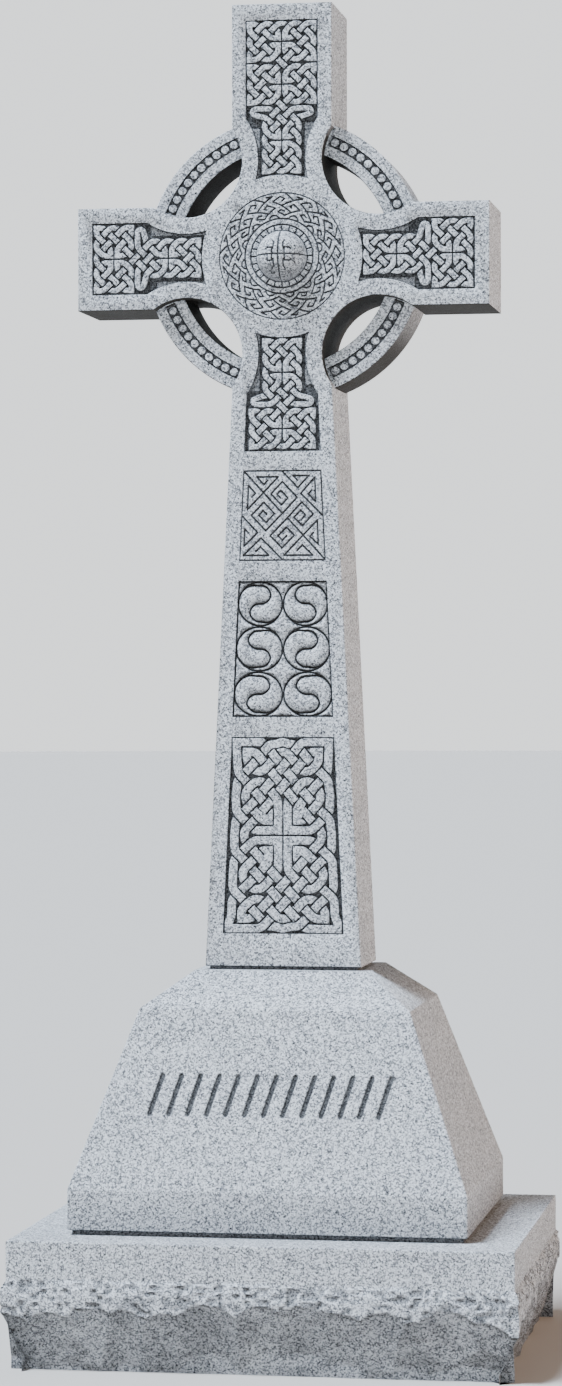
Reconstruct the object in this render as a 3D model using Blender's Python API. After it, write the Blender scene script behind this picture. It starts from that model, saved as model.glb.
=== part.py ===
"""Celtic cross headstone in granite: a carved ring cross on a battered pedestal and a rock-faced base.

Metres, +Z up, the carved face towards -Y, the origin under the middle of the base.
"""
import math

import bmesh
import bpy
import numpy as np
from mathutils import Vector
from mathutils.geometry import delaunay_2d_cdt

for item in list(bpy.data.objects):
    bpy.data.objects.remove(item, do_unlink=True)

# Driving dimensions.
BED_GAP = 0.0003            # between stones that rest on each other

BASE_WIDTH = 0.965          # the smooth margin's width
BASE_DEPTH = 0.800
BASE_HEIGHT = 0.2463
BASE_MARGIN = 0.0693        # height of the smooth margin under the top
PITCH_BULGE = 0.010         # how far the rock face stands out past the margin
PITCH_UNDERCUT = 0.012      # how far its foot draws back
PITCH_STEP = 0.090          # spacing of the facets along a side

PEDESTAL_WIDTH = 0.769
PEDESTAL_DEPTH = 0.616
PEDESTAL_REBATE_HEIGHT = 0.0095
PEDESTAL_REBATE_DEPTH = 0.008
PEDESTAL_BAND = 0.0866      # heights above the top of the base
PEDESTAL_BREAK = 0.4258
PEDESTAL_HEIGHT = 0.4944
PEDESTAL_BREAK_WIDTH = 0.5257
PEDESTAL_BREAK_DEPTH = 0.418
PEDESTAL_TOP_WIDTH = 0.3402
PEDESTAL_TOP_DEPTH = 0.2555
STROKES = 13                # the row of plain strokes on the battered face
STROKE_ROW = 0.455
STROKE_HEIGHT = 0.084
STROKE_WIDTH = 0.013
STROKE_LEAN = 0.022
STROKE_DEPTH = 0.003
STROKE_RISE = 0.2655        # middle of the row above the top of the base

CROSS_THICKNESS = 0.2046
CROSS_HEIGHT = 1.8778       # from its bed to the top of the upper arm
CROSS_REBATE_HEIGHT = 0.006
CROSS_REBATE_DEPTH = 0.008
FOOT_WIDTH = 0.3077
NECK_WIDTH = 0.1972         # of the shaft where the taper meets the throats
HEAD_DROP = 0.4909          # from the top down to the centre of the arms
ARM_SPAN = 0.8108
ARM_HEIGHT = 0.2002
TOP_ARM_WIDTH = 0.1964
THROAT_OFFSET = 0.1891      # centre of each throat, across and up
THROAT_RADIUS = 0.1105
RING_OUTER = 0.2743
RING_INNER = 0.2120
RING_THICKNESS = 0.1440
CHANNEL_WIDTH = 0.0210      # of the sunk channel along the middle of the ring
CHANNEL_DEPTH = 0.004
CHANNEL_REACH = 23.3        # degrees of the channel either side of the middle of a quarter

BOSS_RADIUS = 0.049
DENTIL_OUTER = 0.0612       # of the sunk ring round the boss
COLLAR_RADIUS = 0.0735
MEDALLION_RADIUS = 0.1238

PANEL_DEPTH = 0.005         # of the sunk ground between the strands
LINE_WIDTH = 0.0026         # of an incised line
LINE_DEPTH = 0.003
ARM_MARGIN = 0.0285         # plain stone beside the panel over the shaft
TOP_MARGIN = 0.0270         # beside the top panel
SIDE_MARGIN = 0.0305        # above and below the side panels
FAR_GAP = 0.0020            # sunk strip past the last strand
THROAT_MARGIN = 0.0320
PANEL_NEAR = 0.1580         # the panels start on this circle round the centre
TOP_NARROW = 0.4463         # share of the top panel's length that has the narrow plait
SIDE_NARROW = 0.6172        # the same on the side arms
LOW_SEAM = 0.2938           # where the narrow plait over the shaft gives way to the wide one
TOP_END_MARGIN = 0.0327     # plain stone past the far end of the top panel
SIDE_END_MARGIN = 0.0303    # and past the plaits of the side arms
LOW_ROW = 0.0277            # one cell of the plait over the shaft
NARROW_CELL = 0.0270
WIDE_CELL = 0.0280
SIDE_CELL = 0.0273
STRAND = 0.0112             # width of a strand in the head
STRAND_GAP = 0.0022
EAR_IN = 0.0300
EAR_OUT = 0.0573
EAR_BEND = 0.0065
EAR_LINE = 0.0057           # from the unit's line to the middle of the ear
EAR_DROP = 0.0210

FRET_TOP = 0.4160           # distances below the centre of the arms
FRET_BOTTOM = 0.5920
FRET_MARGIN = 0.0295
FRET_STEP = 0.0076
SPIRAL_TOP = 0.6315
SPIRAL_BOTTOM = 0.8955
SPIRAL_MARGIN = 0.0300
SPIRAL_ROWS = 3
KNOT_TOP = 0.9350
KNOT_BOTTOM = 1.3170
KNOT_MARGIN = 0.0310
KNOT_STRAND = 0.0168
KNOT_GAP = 0.0024

THROAT_STEPS = 8
RING_STEPS = 40
MEDALLION_STEPS = 24
CHANNEL_STEPS = 6
CIRCLE_STEPS = 14           # of the circle round a spiral
SPIRAL_STEPS = 7
CURVE_STEPS = 4             # of a strand's path between two crossings
CURVE_TOLERANCE = 0.0024    # a facet of a strand leaves the curve by less than this

BASE_TOP = BASE_HEIGHT
PEDESTAL_TOP = BASE_TOP + PEDESTAL_HEIGHT
CROSS_FOOT = PEDESTAL_TOP + BED_GAP
CROSS_TOP = CROSS_FOOT + CROSS_HEIGHT
CENTRE = CROSS_TOP - HEAD_DROP
FACE = CROSS_THICKNESS / 2
RING_FACE = RING_THICKNESS / 2


# Helpers.
def granite(name, colour):
    """A plain speckle-free granite tone; the grain belongs to the scene."""
    material = bpy.data.materials.new(name)
    material.use_nodes = True
    shader = material.node_tree.nodes["Principled BSDF"]
    shader.inputs["Base Color"].default_value = (*colour, 1.0)
    shader.inputs["Roughness"].default_value = 0.7
    return material


def add_object(name, vertices, faces, material):
    """One closed mesh object with its faces turned outwards."""
    mesh = bpy.data.meshes.new(name)
    mesh.from_pydata([tuple(v) for v in vertices], [], faces)
    mesh.materials.append(material)
    shape = bmesh.new()
    shape.from_mesh(mesh)
    bmesh.ops.remove_doubles(shape, verts=shape.verts, dist=1e-6)
    bmesh.ops.recalc_face_normals(shape, faces=shape.faces)
    bmesh.ops.triangulate(shape, faces=[f for f in shape.faces if len(f.verts) > 4])
    shape.to_mesh(mesh)
    shape.free()
    item = bpy.data.objects.new(name, mesh)
    bpy.context.scene.collection.objects.link(item)
    return item


def arc(centre, radius, start, end, steps):
    """Points on a circle from one angle to another, in degrees."""
    angles = np.radians(np.linspace(start, end, steps + 1))
    return np.column_stack((centre[0] + radius * np.cos(angles), centre[1] + radius * np.sin(angles)))


def disc(centre, radius, steps):
    """A whole circle as a polygon."""
    return arc(centre, radius, 0.0, 360.0, steps)[:-1]


def inward(polygon, distance):
    """The polygon moved in by a distance, with mitred corners; it runs anticlockwise."""
    points = np.asarray(polygon, float)
    before = points - np.roll(points, 1, axis=0)
    after = np.roll(points, -1, axis=0) - points
    before /= np.linalg.norm(before, axis=1)[:, None]
    after /= np.linalg.norm(after, axis=1)[:, None]
    left_before = np.column_stack((-before[:, 1], before[:, 0]))
    left_after = np.column_stack((-after[:, 1], after[:, 0]))
    middle = left_before + left_after
    return points + middle * (distance / (1.0 + (left_before * left_after).sum(axis=1)))[:, None]


def stroke(path, width):
    """A line of constant width along a path, as one polygon."""
    left, right = sides(np.asarray(path, float), width)
    return np.vstack((left, right[::-1]))


def sides(path, width):
    """The two edges of a band carried along a path, mitred at each bend."""
    run = np.diff(path, axis=0)
    run /= np.linalg.norm(run, axis=1)[:, None]
    before = np.vstack((run[:1], run))
    after = np.vstack((run, run[-1:]))
    normal_before = np.column_stack((-before[:, 1], before[:, 0]))
    normal_after = np.column_stack((-after[:, 1], after[:, 0]))
    share = 1.0 + (normal_before * normal_after).sum(axis=1)
    offset = (normal_before + normal_after) * (width / 2 / share)[:, None]
    return path + offset, path - offset


def anticlockwise(polygon):
    """The polygon with its corners in anticlockwise order."""
    x, z = np.asarray(polygon, float).T
    area = (x * np.roll(z, -1) - np.roll(x, -1) * z).sum()
    return list(map(tuple, polygon if area > 0 else polygon[::-1]))


# Outlines of the head.
def shaft_half(drop):
    """Half width of the tapered shaft at a distance below the centre of the arms."""
    foot_drop = CROSS_HEIGHT - HEAD_DROP
    neck_drop = THROAT_OFFSET + THROAT_RADIUS * 0.6
    share = (drop - neck_drop) / (foot_drop - neck_drop)
    return (NECK_WIDTH + (FOOT_WIDTH - NECK_WIDTH) * share) / 2


def throat_angle_across(half_height, radius):
    """Angle on a throat circle where it meets a level edge of the arm."""
    return math.degrees(math.asin((THROAT_OFFSET - half_height) / radius))


def throat_angle_up(half_width, radius):
    """Angle from the level where a throat circle meets an upright edge."""
    return math.degrees(math.acos((THROAT_OFFSET - half_width) / radius))


def throat_angle_taper(margin, radius):
    """The same on the tapered shaft: the drop and the angle are found together."""
    drop = THROAT_OFFSET + radius * 0.6
    for _ in range(40):
        across = THROAT_OFFSET - (shaft_half(drop) - margin)
        drop = THROAT_OFFSET + math.sqrt(radius * radius - across * across)
    return math.degrees(math.acos(across / radius))


def mirrored(points):
    """The points on the left side, in reverse order, so that an outline closes."""
    points = np.asarray(points, float)
    return points[::-1] * (-1, 1)


def cross_outline():
    """The stone's front outline without the ring, round the centre of the arms."""
    low = throat_angle_taper(0.0, THROAT_RADIUS)
    side = throat_angle_across(ARM_HEIGHT / 2, THROAT_RADIUS)
    top = throat_angle_up(TOP_ARM_WIDTH / 2, THROAT_RADIUS)
    foot = HEAD_DROP - CROSS_HEIGHT + CROSS_REBATE_HEIGHT
    right = [(shaft_half(-foot), foot)]
    right += list(arc((THROAT_OFFSET, -THROAT_OFFSET), THROAT_RADIUS, 180 + low, side, THROAT_STEPS))
    right += [(ARM_SPAN / 2, -ARM_HEIGHT / 2), (ARM_SPAN / 2, ARM_HEIGHT / 2)]
    right += list(arc((THROAT_OFFSET, THROAT_OFFSET), THROAT_RADIUS, -side, -180 - top, THROAT_STEPS))
    right += [(TOP_ARM_WIDTH / 2, HEAD_DROP)]
    return np.vstack((right, mirrored(right)))


def near_arc(half_angle, middle, steps):
    """The end of a panel next to the medallion, on a circle round the centre."""
    return arc((0, 0), PANEL_NEAR, middle - half_angle, middle + half_angle, steps)


def near_half_angle(radius):
    """Angle from an arm's axis to where the near circle meets the circle round a throat."""
    reach = THROAT_OFFSET * math.sqrt(2)
    cosine = (PANEL_NEAR ** 2 + reach ** 2 - radius ** 2) / (2 * PANEL_NEAR * reach)
    return 45 - math.degrees(math.acos(cosine))


def head_panel(direction):
    """Outline of a sunk panel on one arm, built along +Z and turned to its arm."""
    radius = THROAT_RADIUS + THROAT_MARGIN
    half = near_half_angle(radius)
    start = np.array((PANEL_NEAR * math.sin(math.radians(half)), PANEL_NEAR * math.cos(math.radians(half))))
    first = math.degrees(math.atan2(start[1] - THROAT_OFFSET, start[0] - THROAT_OFFSET)) % 360
    if direction == "top":
        edge = TOP_ARM_WIDTH / 2 - TOP_MARGIN
        last = 180 - throat_angle_up(edge, radius)
        far = [(edge, TOP_FAR)]
    elif direction == "low":
        last = 180 - throat_angle_taper(ARM_MARGIN, radius)
        far = [(shaft_half(LOW_FAR) - ARM_MARGIN, LOW_FAR + FAR_GAP)]
    else:
        edge = ARM_HEIGHT / 2 - SIDE_MARGIN
        last = 180 - throat_angle_up(edge, radius)
        far = [(edge, SIDE_FAR + FAR_GAP)]
    throat = arc((THROAT_OFFSET, THROAT_OFFSET), radius, first, last, 5)
    right = np.vstack((throat, far))
    near = near_arc(half, 90, 4)[1:-1]
    points = np.vstack((right, mirrored(right), near[::-1]))
    return turn(points, direction)


def turn(points, direction):
    """Points built along +Z turned or mirrored onto an arm."""
    x, z = np.asarray(points, float).T
    if direction == "top":
        return np.column_stack((x, z))
    if direction == "low":
        return np.column_stack((x, -z))
    if direction == "left":
        return np.column_stack((-z, x))
    return np.column_stack((z, x))


TOP_FAR = HEAD_DROP - TOP_END_MARGIN
TOP_SEAM = PANEL_NEAR + (TOP_FAR - PANEL_NEAR) * TOP_NARROW
TOP_ROW = (TOP_FAR - TOP_SEAM) / 6
SIDE_FAR = ARM_SPAN / 2 - SIDE_END_MARGIN
SIDE_SEAM = PANEL_NEAR + (SIDE_FAR - PANEL_NEAR) * SIDE_NARROW
SIDE_ROW = (SIDE_FAR - SIDE_SEAM) / 3
LOW_FAR = LOW_SEAM + 3 * LOW_ROW


# Interlace.
class Weave:
    """Interlace on a lattice of cells: strands run corner-wise and turn back at walls.

    Nodes lie at the middles of the cells' edges and have doubled whole coordinates (column, row),
    so one of the two is odd. place() gives a lattice position in metres. walls maps a node to "h"
    or "v", for a strand that is turned back by a level or an upright line.
    """

    def __init__(self, columns, rows, place, walls, width, gap, blocked=(), ears=None):
        self.columns = columns
        self.rows = rows
        self.place = place
        self.walls = walls
        self.width = width
        self.gap = gap
        self.blocked = set(blocked)
        self.ears = ears or {}

    def kind(self, node):
        if node in self.walls:
            return self.walls[node]
        if node[0] in (0, 2 * self.columns):
            return "v"
        if node[1] in (0, 2 * self.rows):
            return "h"
        return "x"

    def loops(self):
        """Every strand as a closed list of (node, direction out of it)."""
        seen = set()
        found = []
        for column in range(2 * self.columns + 1):
            for row in range(2 * self.rows + 1):
                node = (column, row)
                if (column + row) % 2 == 0 or node in self.blocked or self.kind(node) != "x":
                    continue
                for way in ((1, 1), (1, -1)):
                    if (node, way) in seen:
                        continue
                    found.append(self.follow(node, way, seen))
        return found

    def follow(self, node, way, seen):
        loop = []
        start = (node, way)
        while True:
            loop.append((node, way))
            seen.add((node, way))
            if self.kind(node) == "x":
                seen.add((node, (-way[0], -way[1])))
            node = (node[0] + way[0], node[1] + way[1])
            kind = self.kind(node)
            if kind == "h":
                way = (way[0], -way[1])
            elif kind == "v":
                way = (-way[0], way[1])
            if (node, way) == start:
                return loop

    def over(self, node, way):
        """At an upright edge the strand that rises to the right is on top, at a level one the other."""
        rising = way[0] * way[1] < 0
        return rising if node[0] % 2 == 0 else not rising

    def heading(self, node, way):
        """Unit direction of a strand through a crossing."""
        back = np.array(self.place(node[0] - way[0], node[1] - way[1]))
        ahead = np.array(self.place(node[0] + way[0], node[1] + way[1]))
        run = ahead - back
        return run / np.linalg.norm(run)

    def stops(self, loop):
        """The path's control stops round a loop: position, tangent, sharp or not, node and direction."""
        off = (self.width + self.gap) / 2
        result = []
        count = len(loop)
        for index, (node, way) in enumerate(loop):
            kind = self.kind(node)
            spot = np.array(self.place(*node))
            following, way_after = loop[(index + 1) % count]
            kind_after = self.kind(following)
            previous = loop[index - 1][0]
            if frozenset((previous, node)) in self.ears:
                continue
            if frozenset((node, following)) in self.ears:
                result += self.ear(node, following)
                continue
            if kind == "x":
                result.append((spot, self.heading(node, way), False, node, way))
                continue
            if kind == "h":
                here = spot + (0, -way[1] * off)
                tangent = np.array((float(way[0]), 0.0))
            else:
                here = spot + (way[0] * off, 0)
                tangent = np.array((0.0, -float(way[1])))
            result.append((here, tangent, False, None, None))
            if kind_after != "x" and kind_after != kind:
                other = np.array(self.place(*following))
                if kind == "h":
                    corner = (other[0] + way_after[0] * off, here[1])
                    result.append((np.array(corner), None, True, None, None))
                else:
                    corner = (here[0], other[1] - way_after[1] * off)
                    result.append((np.array(corner), None, True, None, None))
        return result

    def ear(self, node, following):
        """The stops of a long loop that stands in for a corner of the narrow plait."""
        first, stops = self.ears[frozenset((node, following))]
        if first == node:
            return [(np.array(p), np.array(t), False, None, None) for p, t in stops]
        return [(np.array(p), -np.array(t), False, None, None) for p, t in stops[::-1]]

    def segments(self, steps):
        """Each visible run of strand, from one underpass to the next: left and right edges."""
        result = []
        for loop in self.loops():
            stops = self.stops(loop)
            under = [i for i, s in enumerate(stops) if s[3] is not None and not self.over(s[3], s[4])]
            if not under:
                continue
            for number, first in enumerate(under):
                last = under[(number + 1) % len(under)]
                count = (last - first) % len(stops) or len(stops)
                run = [stops[(first + k) % len(stops)] for k in range(count + 1)]
                result.append(self.run_edges(run, steps))
        return result

    def run_edges(self, run, steps):
        path = [run[0][0]]
        for one, two in zip(run[:-1], run[1:]):
            path += curve(one, two, steps)
        path = np.array(path)
        left, right = [unfolded(edge, path) for edge in sides(path, self.width)]
        left = self.trim(self.trim(left, run[0])[::-1], run[-1])[::-1]
        right = self.trim(self.trim(right, run[0])[::-1], run[-1])[::-1]
        return np.vstack((thinned(left, CURVE_TOLERANCE), thinned(right, CURVE_TOLERANCE)[::-1]))

    def trim(self, edge, stop):
        """The edge cut back from its start to the side of the strand that passes over it."""
        over = self.heading(stop[3], (stop[4][0], -stop[4][1]))
        away = np.abs((edge[:, 0] - stop[0][0]) * over[1] - (edge[:, 1] - stop[0][1]) * over[0])
        clear = self.width / 2 + self.gap
        first = int(np.argmax(away >= clear))
        share = (clear - away[first - 1]) / (away[first] - away[first - 1])
        cut = edge[first - 1] + (edge[first] - edge[first - 1]) * share
        keep = first + 1 if away[first] - clear < clear * 0.12 and first + 1 < len(edge) else first
        return np.vstack((cut[None], edge[keep:]))


def curve(one, two, steps):
    """Points after the first of a cubic from one stop to the next; a straight run needs only its end."""
    p0, t0 = one[0], one[1]
    p3, t3 = two[0], two[1]
    chord = p3 - p0
    length = np.linalg.norm(chord)
    unit = chord / length
    t0 = unit if t0 is None else t0
    t3 = unit if t3 is None else t3
    if t0 @ unit > 0.9995 and t3 @ unit > 0.9995:
        return [p3]
    p1 = p0 + t0 * length * 0.38
    p2 = p3 - t3 * length * 0.38
    share = (np.arange(1, steps + 1) / steps)[:, None]
    rest = 1 - share
    return list(rest ** 3 * p0 + 3 * rest ** 2 * share * p1 + 3 * rest * share ** 2 * p2 + share ** 3 * p3)


def unfolded(edge, path):
    """The edge without the stretches that run against its path, where a bend is tighter than the band."""
    forward = (np.diff(edge, axis=0) * np.diff(path, axis=0)).sum(axis=1) > 0
    keep = np.ones(len(edge), bool)
    keep[1:-1] = forward[1:] & forward[:-1]
    return edge[keep]


def thinned(edge, tolerance):
    """The edge without the points that lie closer than the tolerance to the chord past them."""
    if len(edge) < 3:
        return edge
    run = edge[-1] - edge[0]
    run /= np.linalg.norm(run)
    away = np.abs((edge[:, 0] - edge[0, 0]) * run[1] - (edge[:, 1] - edge[0, 1]) * run[0])
    worst = int(np.argmax(away))
    if away[worst] < tolerance:
        return edge[[0, -1]]
    return np.vstack((thinned(edge[:worst + 1], tolerance)[:-1], thinned(edge[worst:], tolerance)))


def cross_break(column, row):
    """A cross-shaped break: both lines of a plus cut the crossings round one cell's middle."""
    walls = {}
    walls[(2 * column, 2 * row + 1)] = "h"
    walls[(2 * column + 2, 2 * row + 1)] = "h"
    walls[(2 * column + 1, 2 * row)] = "v"
    walls[(2 * column + 1, 2 * row + 2)] = "v"
    return walls


def ear_stops(side, direction):
    """The long loop beside the narrow plait, built along +Z and turned to its arm."""
    end = {"top": TOP_SEAM, "low": LOW_SEAM}.get(direction, SIDE_SEAM)
    line = end - EAR_LINE
    low = end - EAR_DROP
    spots = [(EAR_IN, line), (EAR_OUT - EAR_BEND, line), (EAR_OUT, line - EAR_BEND),
             (EAR_OUT - EAR_BEND * 1.55, low + EAR_BEND * 0.3)]
    ways = [(1, 0), (1, 0), (0, -1), (-0.93, -0.37)]
    spots = [(side * a, b) for a, b in spots]
    ways = [(side * a, b) for a, b in ways]
    spots = turn(spots, direction)
    ways = turn(ways, direction)
    return [(tuple(p), tuple(t)) for p, t in zip(spots, ways)]


def upright_weave(direction):
    """The interlace of the top panel or of the panel over the shaft: five cells wide."""
    units = 2 if direction == "top" else 1
    wide_rows = 3 * units
    rows = wide_rows + 5
    narrow_row = ((TOP_SEAM if direction == "top" else LOW_SEAM) - PANEL_NEAR) / 5
    cell = WIDE_CELL if direction == "top" else NARROW_CELL

    def place(column, row):
        """Rows count down from the top of the panel."""
        across = column / 2 - 2.5
        down = row / 2
        if direction == "top":
            if down <= wide_rows:
                return across * cell, TOP_SEAM + (wide_rows - down) * TOP_ROW
            return across * NARROW_CELL, TOP_SEAM - (down - wide_rows) * narrow_row
        if down < 5:
            return across * NARROW_CELL, -LOW_SEAM + (5 - down) * narrow_row
        return across * cell, -LOW_SEAM - (down - 5) * LOW_ROW

    first_narrow = wide_rows if direction == "top" else 0
    seam = wide_rows if direction == "top" else 5
    walls = {}
    blocked = set()
    for row in range(first_narrow, first_narrow + 5):
        walls[(2, 2 * row + 1)] = "v"
        walls[(8, 2 * row + 1)] = "v"
        for column in (0, 1, 9, 10):
            blocked.update({(column, 2 * row), (column, 2 * row + 1), (column, 2 * row + 2)})
    seams = [seam] + ([3] if units == 2 else [])
    for line in seams:
        for column in (1, 3, 7, 9):
            walls[(column, 2 * line)] = "h"
            blocked.discard((column, 2 * line))
    walls.update(cross_break(2, first_narrow + 2))
    if direction == "top":
        walls.update(cross_break(2, 1))
        walls.update(cross_break(2, 4))
    else:
        walls.update(cross_break(2, 6))
    ears = {}
    beside = 2 * seam + 1 if direction == "top" else 2 * seam - 1
    for side, column, edge in ((-1, 3, 2), (1, 7, 8)):
        first = (column, 2 * seam)
        ears[frozenset((first, (edge, beside)))] = (first, ear_stops(side, direction))
    return Weave(5, rows, place, walls, STRAND, STRAND_GAP, blocked, ears)


def level_weave(direction):
    """The interlace of a side arm: five cells high, three of them in the narrow part."""
    columns = 8
    narrow_column = (SIDE_SEAM - PANEL_NEAR) / 5
    near = -1 if direction == "left" else 1
    seam = 3 if direction == "left" else 5
    first_narrow = 3 if direction == "left" else 0

    def place(column, row):
        along = column / 2
        up = 2.5 - row / 2
        beyond = seam - along if direction == "left" else along - seam
        if beyond >= 0:
            return near * (SIDE_SEAM + beyond * SIDE_ROW), up * SIDE_CELL
        return near * (SIDE_SEAM + beyond * narrow_column), up * NARROW_CELL

    walls = {}
    blocked = set()
    for column in range(first_narrow, first_narrow + 5):
        walls[(2 * column + 1, 2)] = "h"
        walls[(2 * column + 1, 8)] = "h"
        for row in (0, 1, 9, 10):
            blocked.update({(2 * column, row), (2 * column + 1, row), (2 * column + 2, row)})
    for row in (1, 3, 7, 9):
        walls[(2 * seam, row)] = "v"
        blocked.discard((2 * seam, row))
    walls.update(cross_break(first_narrow + 2, 2))
    walls.update(cross_break(1 if direction == "left" else 6, 2))
    ears = {}
    beside = 2 * seam + 1 if direction == "left" else 2 * seam - 1
    for side, row, edge in ((1, 3, 2), (-1, 7, 8)):
        first = (2 * seam, row)
        ears[frozenset((first, (beside, edge)))] = (first, ear_stops(side, direction))
    return Weave(columns, 5, place, walls, STRAND, STRAND_GAP, blocked, ears)


def knot_weave():
    """The large interlace at the foot of the shaft, six cells by ten, mirrored about its middle."""
    level = [(2, 1), (6, 1), (10, 1), (3, 4), (9, 4), (4, 9), (8, 9), (3, 10), (5, 10)]
    upright = [(1, 2), (11, 2), (1, 6), (11, 6), (6, 7), (5, 8), (7, 8), (6, 9), (1, 10), (11, 10)]
    walls = {}
    for column, row in level:
        walls[(column, row)] = "h"
        walls[(column, 20 - row)] = "h"
    walls[(7, 10)] = "h"
    walls[(9, 10)] = "h"
    for column, row in upright:
        walls[(column, row)] = "v"
        walls[(column, 20 - row)] = "v"

    def place(column, row):
        """The lattice is closer in the middle, and its outer strands swing clear of the frame."""
        drop = KNOT_TOP + (KNOT_BOTTOM - KNOT_TOP) * row / 20
        half = shaft_half(drop) - KNOT_MARGIN
        share = (column - 6) / 6
        if abs(share) == 1:
            share *= 0.985 if row in (1, 19) else 0.950
        else:
            share *= 0.885 + 0.115 * share ** 4
        if row in (0, 20) and column in (5, 7):
            drop += 0.004 if row == 0 else -0.004
        if column in (5, 7) and row in (8, 12):
            return math.copysign(KNOT_STRAND + KNOT_GAP * 0.75, share), -drop
        return half * share, -drop

    return Weave(6, 10, place, walls, KNOT_STRAND, KNOT_GAP)


# Key pattern and spirals.
COMPASS = {"N": (0, -1), "S": (0, 1), "E": (1, 0), "W": (-1, 0), "NE": (1, -1), "SE": (1, 1), "SW": (-1, 1),
           "NW": (-1, -1)}
UPPER_NODE = (0, -0.5)
LOWER_NODE = (1.3, 0.6)
KEY_RUNS = [(UPPER_NODE, "NE3.9 NW3.9 SW3 SE2.75 NE1.7 NW1.9 SW0.95 SE0.95"),
            (UPPER_NODE, "SW4.25 NW3.8 NE3.2 SE2.8 SW2.2 NW1.85 NE1.1 SE0.9"),
            (LOWER_NODE, "NE3.8 SE2.9 SW2.9 NW2.1 NE1.75 SE1.2 SW0.9"),
            (LOWER_NODE, "SW4.4 SE3 NE3.1 NW2 SW2.1 SE1.1 NE1.1"),
            ((-4, -8.6), "SW1 NW1.9 E5.8 SW8 N5.9 SE1.9 SW0.9"),
            ((0, -10.9), "SE4.15 NE3 W4.2 SE1.2"),
            ((10.4, 0.1), "NW5.5 NE3.9 S6 NW1.9 NE1"),
            ((-10.4, 0.1), "SE4.1 SW3.3 N4.2 SE1"),
            ((0, 10.9), "NW5.4 SW4.3 E6.3 NW2.1 SW1.1"),
            ((7.9, 4.3), "SW0.9 SE2 N6 SW8.6 E7.1 NW2.5 SW1.4")]


def key_lines():
    """The diagonal key pattern, walked by compass from its nodes, with two lines to the frame's corners."""
    middle = (FRET_TOP + FRET_BOTTOM) / 2

    def spot(point):
        drop = middle + point[1] * FRET_STEP * 1.04
        taper = (shaft_half(drop) - FRET_MARGIN) / (shaft_half(middle) - FRET_MARGIN)
        return point[0] * FRET_STEP * taper, -drop

    lines = []
    for start, moves in KEY_RUNS:
        point = np.array(start, float)
        path = [spot(point)]
        for move in moves.split():
            name = move.rstrip("0123456789.")
            point = point + np.array(COMPASS[name]) * float(move[len(name):])
            path.append(spot(point))
        lines.append(np.array(path))
    frame = inward(trapezium(FRET_TOP, FRET_BOTTOM, FRET_MARGIN), LINE_WIDTH / 2)
    lines.append(np.array([frame[3], spot(UPPER_NODE)]))
    lines.append(np.array([frame[1], spot(LOWER_NODE)]))
    return lines


def trapezium(top, bottom, margin):
    """A panel outline that follows the taper of the shaft."""
    a = shaft_half(top) - margin
    b = shaft_half(bottom) - margin
    return np.array([(-b, -bottom), (b, -bottom), (a, -top), (-a, -top)])


def spiral_cells():
    """Centre, half width and half height of each spiral, with the way that it turns."""
    pitch = (SPIRAL_BOTTOM - SPIRAL_TOP) / SPIRAL_ROWS
    cells = []
    for row in range(SPIRAL_ROWS):
        drop = SPIRAL_TOP + pitch * (row + 0.5)
        half = (shaft_half(drop) - SPIRAL_MARGIN) / 2
        for side in (-1, 1):
            turning = side if row % 2 == 0 else -side
            cells.append(((side * half, -drop), half, pitch / 2, turning))
    return cells


def spiral_path(centre, half_width, half_height, turning, steps):
    """The S-shaped line between the two lobes: round each lobe, then out until it meets the circle."""
    angle = np.linspace(-87, 178, steps)
    radius = 0.50 - 0.10 * np.clip(-angle / 87, 0, 1) - 0.08 * np.clip(angle / 90, 0, 1)
    radius += 0.58 * np.clip((angle - 95) / 100, 0, 1) ** 1.26
    angle = np.radians(angle)
    half = np.column_stack((-0.02 + radius * np.cos(angle), 0.40 + radius * np.sin(angle)))
    path = np.vstack((-half[:0:-1], half))
    path[:, 0] *= -turning
    return path * (half_width, half_height) + centre


class Plan:
    """Flat regions at different levels. The highest ranked region over a place sets its level.

    A level is a distance along the third direction, and None is open air.
    """

    def __init__(self):
        self.regions = []

    def add(self, polygon, rank, level):
        self.regions.append((anticlockwise(polygon), rank, level))

    def solve(self):
        """Corner points, triangles and the level of each triangle, open air left out."""
        points = []
        faces = []
        for polygon, _, _ in self.regions:
            faces.append(list(range(len(points), len(points) + len(polygon))))
            points += [Vector(p) for p in polygon]
        spots, _, cells, _, _, owners = delaunay_2d_cdt(points, [], faces, 1, 1e-6, True)
        result = []
        for cell, owner in zip(cells, owners):
            level = max((self.regions[i][1:] for i in owner), default=(0, None))[1]
            if level is not None:
                result.append((list(cell), level))
        return [(s[0], s[1]) for s in spots], result


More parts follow.
